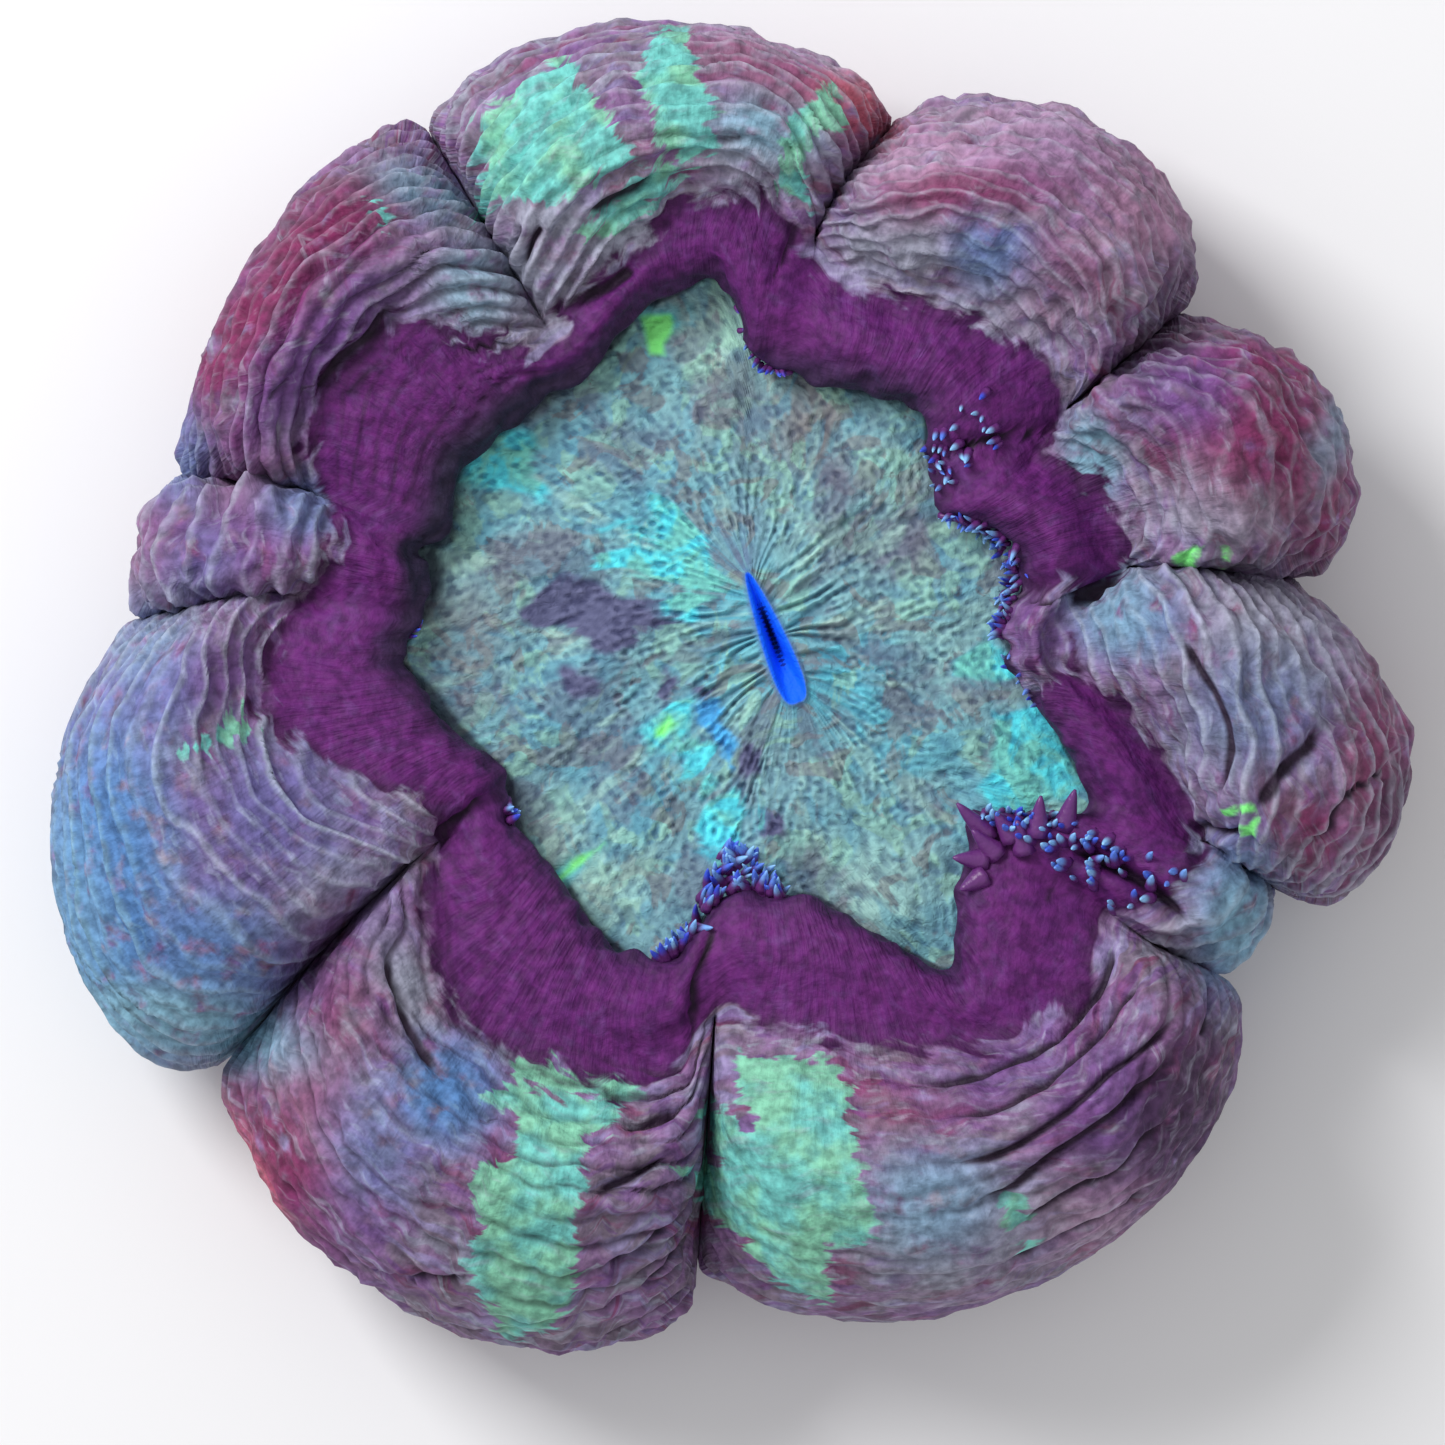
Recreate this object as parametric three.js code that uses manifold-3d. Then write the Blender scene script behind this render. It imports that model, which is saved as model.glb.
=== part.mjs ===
// A solitary fleshy coral polyp. A sunken oral disc with a slit mouth is ringed by a rolled lip, and outside
// the lip the mantle puffs up into ridged lobes that are parted by clefts. Short tentacles grow in clusters
// on the lip. The animal is one continuous body, so it is one closed solid, cut off flat where it grew.
// Millimetres, +Z up. The origin lies on the flat base, straight under the middle of the oral disc.
// Angles are degrees anticlockwise from +X, seen from above.
import * as THREE from "three";
import { mergeVertices } from "three/addons/utils/BufferGeometryUtils.js";
import Module from "manifold-3d";

// Heights above the base
const DISC_HEIGHT = 19; // edge of the oral disc
const DISC_MOUND = 1.6; // how far the disc rises from its edge to the mouth
const LIP_RISE = 6.2; // top of the lip above the disc edge, on a lobe
const CLEFT_LIP_RISE = 4.6; // the same, where a cleft meets the lip
const REACH_HEIGHT = 13; // where a lobe reaches furthest out
const CLEFT_FLOOR = 8; // bottom of a cleft at its outer end
const UNDERSIDE_HEIGHT = 4; // where the underside starts to turn in to the base

// Lip, from the disc edge outwards
const LIP_OVERHANG = 0.5; // lip nose past the disc edge, over the disc
const LIP_TUCK = 0.9; // disc edge tucked back under the lip
const LIP_SINK = 0.4; // how far the tucked edge lies below the disc
const LIP_FOOT_RISE = 0.9; // foot of the lip above the disc edge
const LIP_NOSE_RISE = 2.6; // nose of the lip above the disc edge
const LIP_BROW_DROP = 1.1; // brow of the lip below its top
const LIP_TOP_AT = 0.45; // top of the lip, as a share of the way from the disc edge to the band's outer edge
const BAND_RISE = 1; // outer edge of the band above the top of the lip, before a lobe's groove
const CLEFT_BAND_RISE = 2.8; // the same edge above the disc edge, where it dips into a cleft
const CLEFT_BAND_GAP = 1; // least gap from that dip to the inner end of the cleft

// Lobes, from the lip outwards
const CREST_AT = 0.42; // crest of a lobe, as a share of the way from the lip to its reach
const SHOULDER_AT = 0.85; // shoulder of a lobe, as the same share
const SHOULDER_RISE = 0.65; // height of the shoulder, as a share of the way from the reach to the crest
const CLEFT_MIDDLE_AT = 0.5; // middle of a cleft floor, as a share of the way from its inner to its outer end
const CLEFT_MIDDLE_RISE = 0.4; // height there, as a share of the way from the cleft floor to the disc edge
const UNDERCUT = 3.5; // how far the underside of a lobe lies in from its reach
const CLEFT_UNDERCUT = 2; // the same in a cleft
const BASE_SHARE = 0.76; // base edge as a share of a lobe's reach
const LOBE_SQUARENESS = 3; // exponent of the superellipse that rounds a lobe off into its clefts
const RIDGES = 8; // ridges across each lobe, from the lip to under its reach
const RIDGED_FROM = 5; // profile stations between which the ridges run
const RIDGED_TO = 8.6;
const RIDGE_FADE = 0.25; // share of the ridged stretch over which the ridges rise and fade at its ends
const CLEFT_FADE = 6; // exponent with which the ridges fade out in the clefts

// Outline of the oral disc: [angle, radius]
const DISC_EDGE = [
  [0, 24.5], [5, 23.6], [10, 25.2], [17, 26.8], [24, 26.1], [30, 23.6], [35, 22.1], [41, 23.4], [47, 25],
  [52, 27], [60, 26.5], [72, 25.4], [82, 25.9], [88, 27.2], [91, 31.5], [94, 33.7], [100, 32.8],
  [107, 31.9], [113, 29.9], [120, 28.3], [130, 29], [140, 29.3], [147, 30.1], [155, 29], [160, 29],
  [163, 30.4], [167, 29], [174, 28.8], [181, 31], [186, 29.3], [195, 27.4], [203, 24.8], [208, 24.3],
  [215, 25.6], [225, 26.1], [235, 27], [245, 29.2], [252, 29.2], [259, 28.1], [263, 24.1], [268, 22],
  [276, 22.5], [284, 23], [290, 25.2], [296, 28.8], [303, 34.6], [308, 31.7], [314, 28.8], [320, 27],
  [325, 25.6], [330, 29.7], [335, 34.4], [340, 32.8], [346, 29], [352, 26.6], [357, 24.5],
];

// Outer edge of the lip's smooth band, where the ridges start: [angle, radius]
const BAND_EDGE = [
  [0, 29], [5, 29.5], [8, 31], [12, 35], [20, 36], [28, 35], [33, 32.6], [37, 36], [44, 38.2], [52, 36.9],
  [60, 35.6], [70, 34.7], [80, 36.2], [86, 40.5], [93, 41.9], [98, 41.9], [105, 37.4], [110, 36],
  [116, 34.4], [122, 33.5], [128, 36], [133, 41], [140, 43.2], [150, 44.1], [157, 41.9], [163, 38],
  [167, 37], [172, 39.2], [180, 42.1], [186, 43.2], [192, 40.5], [200, 34.7], [206, 31.3], [212, 31.5],
  [217, 34.7], [225, 38.7], [235, 41.4], [242, 41], [252, 40.3], [260, 39.4], [266, 32.3], [272, 33.3],
  [280, 35.1], [290, 37.8], [300, 41], [308, 42.8], [315, 43.9], [320, 41.4], [325, 40.6], [329, 44],
  [334, 44.5], [340, 43.1], [346, 38.7], [352, 34.2], [356, 30],
];

// Clefts between the lobes: [angle, radius] of the inner end, at the lip, and of the outer end, at the outline
const CLEFTS = [
  { inner: [12, 36], outer: [7.5, 49.5] },
  { inner: [36.5, 36.8], outer: [37.5, 49.5] },
  { inner: [79.5, 38.7], outer: [74, 49.3] },
  { inner: [121, 37], outer: [121, 54] },
  { inner: [160, 42.3], outer: [163, 52.6] },
  { inner: [173, 43.2], outer: [177, 54.5] },
  { inner: [212.5, 33.5], outer: [218.5, 57.6] },
  { inner: [266, 34], outer: [266, 54.7] },
  { inner: [324.5, 45], outer: [326, 51.3] },
  { inner: [337.5, 46], outer: [336, 52.7] },
];

// Lobes, each from the cleft of its own index to the next: reach and ridge depth at its start, middle and end,
// height of its crest, depth of the groove behind the lip, and its columns of faces
const LOBES = [
  { reach: [55.5, 57.5, 51], ridge: [1, 0.4, 0.9], crest: 33, groove: 3.5, columns: 12 },
  { reach: [54, 57, 50.5], ridge: [1.4, 0.7, 1], crest: 33, groove: 2, columns: 13 },
  { reach: [51.5, 56.5, 57.5], ridge: [1, 1, 1.4], crest: 31, groove: 0.6, columns: 13 },
  { reach: [58, 55.8, 53], ridge: [1.8, 1.5, 1.3], crest: 29.5, groove: 0.2, columns: 13 },
  { reach: [53.5, 55.2, 54.5], ridge: [1.2, 0.8, 1.2], crest: 27, groove: 0.8, columns: 6 },
  { reach: [56, 64.8, 66], ridge: [0.8, 0.8, 1.3], crest: 31, groove: 0.4, columns: 13 },
  { reach: [62.5, 66.5, 64], ridge: [1.3, 0.7, 1.7], crest: 32, groove: 0.8, columns: 15 },
  { reach: [58.5, 63, 58.5], ridge: [0.6, 1.2, 2.4], crest: 33, groove: 0.4, columns: 17 },
  { reach: [52.5, 53, 53], ridge: [1, 0.8, 1], crest: 25, groove: 0.5, columns: 6 },
  { reach: [60.5, 60.5, 50.5], ridge: [1.8, 1.3, 0.8], crest: 32, groove: 2.5, columns: 12 },
];

// Mouth: a slit, wider at one end
const MOUTH_CENTRE = [2.9, 1.1];
const MOUTH_ANGLE = -68.6; // towards its wide end
const MOUTH_HALF_LENGTH = 5.9;
const MOUTH_HALF_WIDTH = 1;
const MOUTH_TAPER = 0.45; // share by which the half width grows at one end and shrinks at the other
const MOUTH_DEPTH = 4;
const MOUTH_WALL = [[0.45, 0.8], [0.8, 0.35]]; // rings of its wall: share of the slit's size and of its depth

// Tentacle clusters: angles and profile stations that each covers, how many, and their length and base radius
const TENTACLES = [
  { angles: [40, 48], stations: [2.4, 4], count: 8, length: 1.3, radius: 0.5 },
  { angles: [14, 33], stations: [1.6, 2.6], count: 8, length: 1.4, radius: 0.5 },
  { angles: [317, 328], stations: [1.8, 3.4], count: 8, length: 3, radius: 0.9 },
  { angles: [328, 333], stations: [2.6, 5], count: 12, length: 2, radius: 0.6 },
  { angles: [259, 274], stations: [1.6, 2.8], count: 9, length: 2, radius: 0.6 },
  { angles: [213, 217], stations: [1.6, 2.2], count: 2, length: 1.4, radius: 0.5 },
];
const TENTACLE_SIDES = 5;
const TENTACLE_ROOT = 0.6; // how deep each is set into the lip
const TENTACLE_LEAN = 37; // degrees from upright, towards the middle
const GOLDEN_SHARE = 0.618; // spreads the tentacles of a cluster across its width

// Rings of faces, besides those of the ridges
const DISC_RINGS = [0.08, 0.22, 0.42, 0.62, 0.82]; // shares of the way from the mouth to the disc edge
const LIP_RINGS = [0, 1, 2, 2.7, 3.4, 4.2]; // profile stations
const UNDERSIDE_RINGS = [9.2, 10];

const { cos, sin, abs, min, hypot, PI } = Math;
const { lerp, clamp, degToRad } = THREE.MathUtils;

// A radius from a closed [angle, radius] outline, by a smooth curve through its points.
function outlineRadius(outline, angle) {
  const count = outline.length;
  const turned = ((angle % 360) + 360) % 360;
  const next = outline.findIndex(([a]) => a > turned);
  const start = (next < 0 ? count : next) - 1;
  const point = (i) => {
    const [a, r] = outline[(i + count) % count];
    return [a + 360 * Math.floor(i / count), r];
  };
  const [before, from, to, after] = [-1, 0, 1, 2].map((step) => point(start + step));
  const span = to[0] - from[0];
  const share = (turned - from[0]) / span;
  const slopeFrom = ((to[1] - before[1]) / (to[0] - before[0])) * span;
  const slopeTo = ((after[1] - from[1]) / (after[0] - from[0])) * span;
  const rise = to[1] - from[1];
  const square = 3 * rise - 2 * slopeFrom - slopeTo;
  const cube = slopeFrom + slopeTo - 2 * rise;
  return from[1] + share * (slopeFrom + share * (square + share * cube));
}

// The value of a curve through a start, a middle and an end, at a place from -1 to 1.
function throughThree([start, middle, end], place) {
  return middle + ((end - start) / 2) * place + ((start + end) / 2 - middle) * place * place;
}

function polar(angle, radius, height) {
  const turn = degToRad(angle);
  return new THREE.Vector3(radius * cos(turn), radius * sin(turn), height);
}

// The two clefts of a lobe, with the second one's angles past the first one's.
function cleftsOf(index) {
  const start = CLEFTS[index];
  const last = index + 1 === CLEFTS.length;
  const { inner, outer } = CLEFTS[last ? 0 : index + 1];
  const turn = last ? 360 : 0;
  return [start, { inner: [inner[0] + turn, inner[1]], outer: [outer[0] + turn, outer[1]] }];
}

// One column of the body, from the disc edge over the lip and the lobe to the base, as profile stations.
// place runs across the lobe from -1 at its first cleft to 1 at its second.
function column(index, place) {
  const lobe = LOBES[index];
  const [first, second] = cleftsOf(index);
  const across = sin((place * PI) / 2);
  const full = (1 - abs(across) ** LOBE_SQUARENESS) ** (1 / LOBE_SQUARENESS);
  const even = (place + 1) / 2;
  const bunched = (across + 1) / 2;
  const cleftAngle = (cleft, radius) => {
    const out = clamp((radius - cleft.inner[1]) / (cleft.outer[1] - cleft.inner[1]), 0, 1);
    return lerp(cleft.inner[0], cleft.outer[0], out);
  };
  const at = (radius, height, share) =>
    polar(lerp(cleftAngle(first, radius), cleftAngle(second, radius), share), radius, height);
  const cleftIn = lerp(first.inner[1], second.inner[1], even);
  const cleftOut = lerp(first.outer[1], second.outer[1], even);
  const innerAngle = (share) => lerp(first.inner[0], second.inner[0], share);
  const halfBunched = (even + bunched) / 2;
  const rim = outlineRadius(DISC_EDGE, innerAngle(even));
  const band = outlineRadius(BAND_EDGE, innerAngle(halfBunched));
  const reach = throughThree(lobe.reach, across);
  const lip = DISC_HEIGHT + lerp(CLEFT_LIP_RISE, LIP_RISE, full);
  const bandDip = min(band, cleftIn - CLEFT_BAND_GAP);
  const bandTop = lerp(DISC_HEIGHT + CLEFT_BAND_RISE, lip + BAND_RISE - lobe.groove, full);
  const shoulder = lerp(band, reach, SHOULDER_AT);
  const cleftMiddle = lerp(cleftIn, cleftOut, CLEFT_MIDDLE_AT);
  const cleftMiddleTop = lerp(CLEFT_FLOOR, DISC_HEIGHT, CLEFT_MIDDLE_RISE);
  const shoulderTop = lerp(REACH_HEIGHT, lobe.crest, SHOULDER_RISE);
  return [
    at(rim + LIP_TUCK, DISC_HEIGHT - LIP_SINK, even),
    at(rim + LIP_TUCK / 2, DISC_HEIGHT + LIP_FOOT_RISE, even),
    at(rim - LIP_OVERHANG, DISC_HEIGHT + LIP_NOSE_RISE, even),
    at(rim + 2 * LIP_OVERHANG, lip - LIP_BROW_DROP, even),
    at(lerp(rim, band, LIP_TOP_AT), lip, even),
    at(lerp(bandDip, band, full), bandTop, halfBunched),
    at(lerp(cleftIn, lerp(band, reach, CREST_AT), full), lerp(DISC_HEIGHT, lobe.crest, full), bunched),
    at(lerp(cleftMiddle, shoulder, full), lerp(cleftMiddleTop, shoulderTop, full), bunched),
    at(lerp(cleftOut, reach, full), lerp(CLEFT_FLOOR, REACH_HEIGHT, full), bunched),
    at(lerp(cleftOut - CLEFT_UNDERCUT, reach - UNDERCUT, full), UNDERSIDE_HEIGHT, bunched),
    at(lerp(cleftOut, reach, full) * BASE_SHARE, 0, bunched),
  ];
}

// A column's curve with the lobe's ridges: each point is pushed out along the profile's normal on a ridge and
// in between ridges. station counts along the profile stations.
function ridgedPoint(curve, stations, index, place, station) {
  const point = curve.getPoint(station / (stations.length - 1));
  const along = (station - RIDGED_FROM) / (RIDGED_TO - RIDGED_FROM);
  if (along <= 0 || along >= 1) return point;
  const tangent = curve.getTangent(station / (stations.length - 1));
  const outward = hypot(tangent.x, tangent.y) * Math.sign(tangent.x * point.x + tangent.y * point.y);
  const radial = new THREE.Vector3(point.x, point.y, 0).normalize();
  const normal = radial.multiplyScalar(-tangent.z).add(new THREE.Vector3(0, 0, outward)).normalize();
  const fade = min(1, along / RIDGE_FADE, (1 - along) / RIDGE_FADE) * (1 - abs(place) ** CLEFT_FADE);
  const depth = throughThree(LOBES[index].ridge, place) * fade;
  return point.addScaledVector(normal, (-depth / 2) * cos(2 * PI * RIDGES * along));
}

// A ring of the mouth's slit, in plan. angle is the polar angle of the column that it belongs to.
function mouthPoint(angle, share, height) {
  const turn = degToRad(angle - MOUTH_ANGLE);
  const length = MOUTH_HALF_LENGTH * cos(turn);
  const width = MOUTH_HALF_WIDTH * (1 + MOUTH_TAPER * cos(turn)) * sin(turn);
  const slit = new THREE.Vector3(length, width, 0).multiplyScalar(share);
  slit.applyAxisAngle(new THREE.Vector3(0, 0, 1), degToRad(MOUTH_ANGLE));
  return slit.add(new THREE.Vector3(...MOUTH_CENTRE, height));
}

// Rings of the body, from the bottom of the mouth across the disc, over the lip and lobes, to the base edge.
function bodyRings() {
  const mouthTop = DISC_HEIGHT + DISC_MOUND;
  const ridgeStep = (RIDGED_TO - RIDGED_FROM) / (2 * RIDGES);
  const ridged = Array.from({ length: 2 * RIDGES + 1 }, (_, i) => RIDGED_FROM + i * ridgeStep);
  const stationsOut = [...LIP_RINGS, ...ridged, ...UNDERSIDE_RINGS];
  const ringCount = MOUTH_WALL.length + 1 + DISC_RINGS.length + stationsOut.length;
  const rings = Array.from({ length: ringCount }, () => []);
  LOBES.forEach((lobe, index) => {
    for (let step = 0; step < lobe.columns; step += 1) {
      const place = (2 * step) / lobe.columns - 1;
      const stations = column(index, place);
      const curve = new THREE.CatmullRomCurve3(stations, false, "catmullrom", 0.5);
      const edge = stations[0];
      const angle = THREE.MathUtils.radToDeg(Math.atan2(edge.y, edge.x));
      const slit = mouthPoint(angle, 1, mouthTop);
      const disc = DISC_RINGS.map((share) => {
        const point = slit.clone().lerp(edge, share);
        point.z = DISC_HEIGHT + DISC_MOUND * (1 - share) ** 2;
        return point;
      });
      const points = [
        ...MOUTH_WALL.map(([share, depth]) => mouthPoint(angle, share, mouthTop - depth * MOUTH_DEPTH)),
        slit,
        ...disc,
        ...stationsOut.map((station) => ridgedPoint(curve, stations, index, place, station)),
      ];
      points.forEach((point, ring) => rings[ring].push(point));
    }
  });
  return rings;
}

// A closed mesh over rings of equal length, with a pole at each end.
function skin(rings, firstPole, lastPole) {
  const around = rings[0].length;
  const vertices = [...rings.flat(), firstPole, lastPole];
  const first = rings.length * around;
  const triangles = [];
  for (let i = 0; i < around; i += 1) {
    const j = (i + 1) % around;
    triangles.push(first, i, j);
    for (let ring = 0; ring + 1 < rings.length; ring += 1) {
      const [a, b] = [ring * around + i, ring * around + j];
      const [c, d] = [a + around, b + around];
      triangles.push(a, c, d, a, d, b);
    }
    const outer = (rings.length - 1) * around;
    triangles.push(first + 1, outer + j, outer + i);
  }
  return new THREE.BufferGeometry().setFromPoints(vertices).setIndex(triangles);
}

// The tentacles, as cones that lean from the lip towards the open disc.
function tentacleGeometries() {
  return TENTACLES.flatMap(({ angles, stations, count, length, radius }) =>
    Array.from({ length: count }, (_, i) => {
      const angle = lerp(...angles, (i + 0.5) / count);
      const station = lerp(...stations, ((i + 1) * GOLDEN_SHARE) % 1);
      const index = LOBES.findIndex((_, lobe) => {
        const [first, second] = cleftsOf(lobe);
        return angle >= first.inner[0] && angle < second.inner[0];
      });
      const [first, second] = cleftsOf(index);
      const place = (2 * (angle - first.inner[0])) / (second.inner[0] - first.inner[0]) - 1;
      const points = column(index, place);
      const curve = new THREE.CatmullRomCurve3(points, false, "catmullrom", 0.5);
      const root = curve.getPoint(station / (points.length - 1));
      const lean = degToRad(TENTACLE_LEAN);
      const aim = new THREE.Vector3(-root.x, -root.y, 0).setLength(sin(lean)).setZ(cos(lean));
      const cone = new THREE.ConeGeometry(radius, length + TENTACLE_ROOT, TENTACLE_SIDES);
      cone.translate(0, (length - TENTACLE_ROOT) / 2, 0);
      cone.applyQuaternion(new THREE.Quaternion().setFromUnitVectors(new THREE.Vector3(0, 1, 0), aim));
      return cone.translate(root.x, root.y, root.z);
    }),
  );
}

// A closed geometry as a solid that can be joined to others.
function solidOf(wasm, geometry) {
  const bare = new THREE.BufferGeometry().setAttribute("position", geometry.getAttribute("position"));
  bare.setIndex(geometry.index);
  const merged = mergeVertices(bare, 1e-4);
  return new wasm.Manifold(
    new wasm.Mesh({
      numProp: 3,
      vertProperties: new Float32Array(merged.getAttribute("position").array),
      triVerts: new Uint32Array(merged.index.array),
    }),
  );
}

async function coralGeometry() {
  const wasm = await Module();
  wasm.setup();
  const mouthBottom = new THREE.Vector3(...MOUTH_CENTRE, DISC_HEIGHT + DISC_MOUND - MOUTH_DEPTH);
  const body = solidOf(wasm, skin(bodyRings(), mouthBottom, new THREE.Vector3()));
  const joined = tentacleGeometries().reduce((solid, cone) => solid.add(solidOf(wasm, cone)), body);
  const { vertProperties, triVerts } = joined.getMesh();
  return new THREE.BufferGeometry()
    .setAttribute("position", new THREE.BufferAttribute(vertProperties, 3))
    .setIndex(new THREE.BufferAttribute(triVerts, 1));
}

const flesh = new THREE.MeshStandardMaterial({ color: 0x7a4a78, roughness: 0.55, metalness: 0 });
const coral = new THREE.Group();
const polyp = new THREE.Mesh(await coralGeometry(), flesh);
polyp.name = "coral_polyp";
coral.add(polyp);

export default coral;
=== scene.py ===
"""The looks of a solitary fleshy coral polyp: oral disc, mantle and tentacles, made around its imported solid.

The file is laid out as an add-on and run as a script. Tables are in millimetres and degrees, in the part's
own frame: +Z up, +X right and +Y up in the view from above, angles anticlockwise from +X. Meshes are in
metres.
"""
from collections import namedtuple

import bpy
import numpy as np
from bpy.props import FloatProperty, FloatVectorProperty, PointerProperty
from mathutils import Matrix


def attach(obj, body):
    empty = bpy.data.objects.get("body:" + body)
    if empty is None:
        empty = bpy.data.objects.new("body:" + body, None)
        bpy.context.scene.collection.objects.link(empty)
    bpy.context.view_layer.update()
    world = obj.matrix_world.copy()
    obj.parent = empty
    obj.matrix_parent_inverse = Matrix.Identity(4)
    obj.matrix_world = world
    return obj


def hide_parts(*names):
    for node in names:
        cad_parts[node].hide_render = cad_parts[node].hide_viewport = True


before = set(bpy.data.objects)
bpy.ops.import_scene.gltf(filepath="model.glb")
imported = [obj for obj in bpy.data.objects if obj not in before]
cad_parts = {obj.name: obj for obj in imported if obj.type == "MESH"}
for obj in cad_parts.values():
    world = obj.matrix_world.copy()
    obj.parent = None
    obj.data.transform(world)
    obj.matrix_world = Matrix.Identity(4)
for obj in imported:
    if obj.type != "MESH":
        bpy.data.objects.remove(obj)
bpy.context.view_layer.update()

bl_info = {
    "name": "Coral Polyp",
    "version": (1, 0, 0),
    "blender": (4, 5, 0),
    "location": "View3D > Sidebar > Coral",
    "description": "Makes a solitary fleshy coral polyp and a plain stage for it",
    "category": "Add Mesh",
}

MM = 0.001
BODY = "root"
NODE = "coral_polyp"

# Outline of the oral disc: angle, radius
DISC_EDGE = [
    (0, 24.5), (5, 23.6), (10, 25.2), (17, 26.8), (24, 26.1), (30, 23.6), (35, 22.1), (41, 23.4), (47, 25),
    (52, 27), (60, 26.5), (72, 25.4), (82, 25.9), (88, 27.2), (91, 31.5), (94, 33.7), (100, 32.8),
    (107, 31.9), (113, 29.9), (120, 28.3), (130, 29), (140, 29.3), (147, 30.1), (155, 29), (160, 29),
    (163, 30.4), (167, 29), (174, 28.8), (181, 31), (186, 29.3), (195, 27.4), (203, 24.8), (208, 24.3),
    (215, 25.6), (225, 26.1), (235, 27), (245, 29.2), (252, 29.2), (259, 28.1), (263, 24.1), (268, 22),
    (276, 22.5), (284, 23), (290, 25.2), (296, 28.8), (303, 34.6), (308, 31.7), (314, 28.8), (320, 27),
    (325, 25.6), (330, 29.7), (335, 34.4), (340, 32.8), (346, 29), (352, 26.6), (357, 24.5),
]

# Outer edge of the lip's smooth band: angle, radius
BAND_EDGE = [
    (0, 29), (5, 29.5), (8, 31), (12, 35), (20, 36), (28, 35), (33, 32.6), (37, 36), (44, 38.2), (52, 36.9),
    (60, 35.6), (70, 34.7), (80, 36.2), (86, 39.7), (93, 40.6), (98, 40.6), (105, 37.4), (110, 36),
    (116, 34.4), (122, 33.5), (128, 36), (133, 41), (140, 43.2), (150, 44.1), (157, 41.9), (163, 38),
    (167, 37), (172, 39.2), (180, 42.1), (186, 43.2), (192, 40.5), (200, 34.7), (206, 31.3), (212, 31.5),
    (217, 34.7), (225, 38.7), (235, 41.4), (242, 41), (252, 40.3), (260, 39.4), (266, 32.3), (272, 33.3),
    (280, 35.1), (290, 37.8), (300, 41), (308, 42.8), (315, 43.9), (320, 41.4), (325, 40.6), (329, 44),
    (334, 44.5), (340, 43.1), (346, 38.7), (352, 34.2), (356, 30),
]

# Clefts between the lobes: angle and radius of the inner end, at the lip, and of the outer end
Cleft = namedtuple("Cleft", "inner_angle inner_radius outer_angle outer_radius")
CLEFTS = [
    Cleft(12, 36, 7.5, 49.5),
    Cleft(36.5, 36.8, 37.5, 49.5),
    Cleft(79.5, 38.7, 74, 49.3),
    Cleft(121, 37, 121, 54),
    Cleft(160, 42.3, 163, 52.6),
    Cleft(173, 43.2, 177, 54.5),
    Cleft(212.5, 33.5, 218.5, 57.6),
    Cleft(266, 34, 266, 54.7),
    Cleft(324.5, 45, 326, 51.3),
    Cleft(337.5, 46, 336, 52.7),
]

# Painted shade in each cleft: how dark it is, and the first again
CLEFT_SHADE = [0.75, 0.75, 0.7, 0.5, 0.25, 0.25, 0.75, 0.75, 0.75, 0.75, 0.75]

# Lobes, each from the cleft of its own index to the next: reach at its start, middle and end, height of its
# crest, depth of the groove behind the lip, columns of faces, number of ridges, their depth at the lobe's
# start, middle and end, their form from -1 for narrow grooves to 1 for narrow raised lines, their share of
# depth on the band, and how crumpled the lobe is
Lobe = namedtuple("Lobe", "reach crest groove columns ridges depth form onto_band crumple")
LOBES = [
    Lobe((55.5, 57.5, 51), 33, 3.5, 58, 20, (0.9, 0.45, 0.6), 0.2, 0.1, 1.5),
    Lobe((54, 57, 50.5), 33, 2, 62, 27, (0.45, 0.4, 0.8), 0.3, 0.25, 1.6),
    Lobe((51.5, 56.5, 57.5), 31, 0.6, 64, 21, (0.8, 0.8, 1.1), 0.2, 0.35, 0.9),
    Lobe((58, 55.8, 53), 29.5, 0.2, 62, 21, (1.1, 1.15, 0.9), -0.1, 0.9, 1.1),
    Lobe((53.5, 55.2, 54.5), 27, 0.8, 30, 14, (0.8, 0.8, 0.8), 0.3, 0.7, 2.2),
    Lobe((56, 64.8, 66), 31, 0.4, 62, 20, (0.7, 0.75, 0.8), 1.0, 0.2, 0.45),
    Lobe((62.5, 66.5, 64), 32, 0.8, 74, 20, (0.75, 0.5, 1.4), -0.6, 0.15, 1.1),
    Lobe((58.5, 63, 58.5), 33, 0.4, 84, 21, (0.35, 0.35, 0.4), -0.3, 0.2, 0.7),
    Lobe((52.5, 53, 53), 25, 0.5, 30, 8, (0.8, 0.7, 0.8), 0.6, 0.2, 1.2),
    Lobe((60.5, 60.5, 50.5), 32, 2.5, 58, 22, (0.7, 0.55, 0.6), 0.6, 0.15, 1.3),
]

# Shape of the lip and lobes, as in the solid: heights are above the disc edge, shares are of the way outwards
LIP_OVERHANG = 0.5
LIP_TUCK = 0.9
LIP_SINK = 0.4
LIP_FOOT_RISE = 0.9
LIP_NOSE_RISE = 2.6
LIP_BROW_DROP = 1.1
LIP_TOP_AT = 0.45
BAND_RISE = 1
CLEFT_BAND_RISE = 2.8
CLEFT_BAND_GAP = 1
CREST_AT = 0.42
SHOULDER_AT = 0.85
SHOULDER_RISE = 0.65
CLEFT_MIDDLE_AT = 0.5
CLEFT_MIDDLE_RISE = 0.4
UNDERCUT = 3.5
CLEFT_UNDERCUT = 2
BASE_SHARE = 0.76
LOBE_SQUARENESS = 3
COLUMN_BUNCHING = 0.55

# Profile stations of the mantle, counted from the disc edge outwards
LIP_TOP = 4
BAND_OUTER = 5
RIDGES_START = 3
REACH = 8
RIDGES_END = 8.7
BASE = 10

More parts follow.
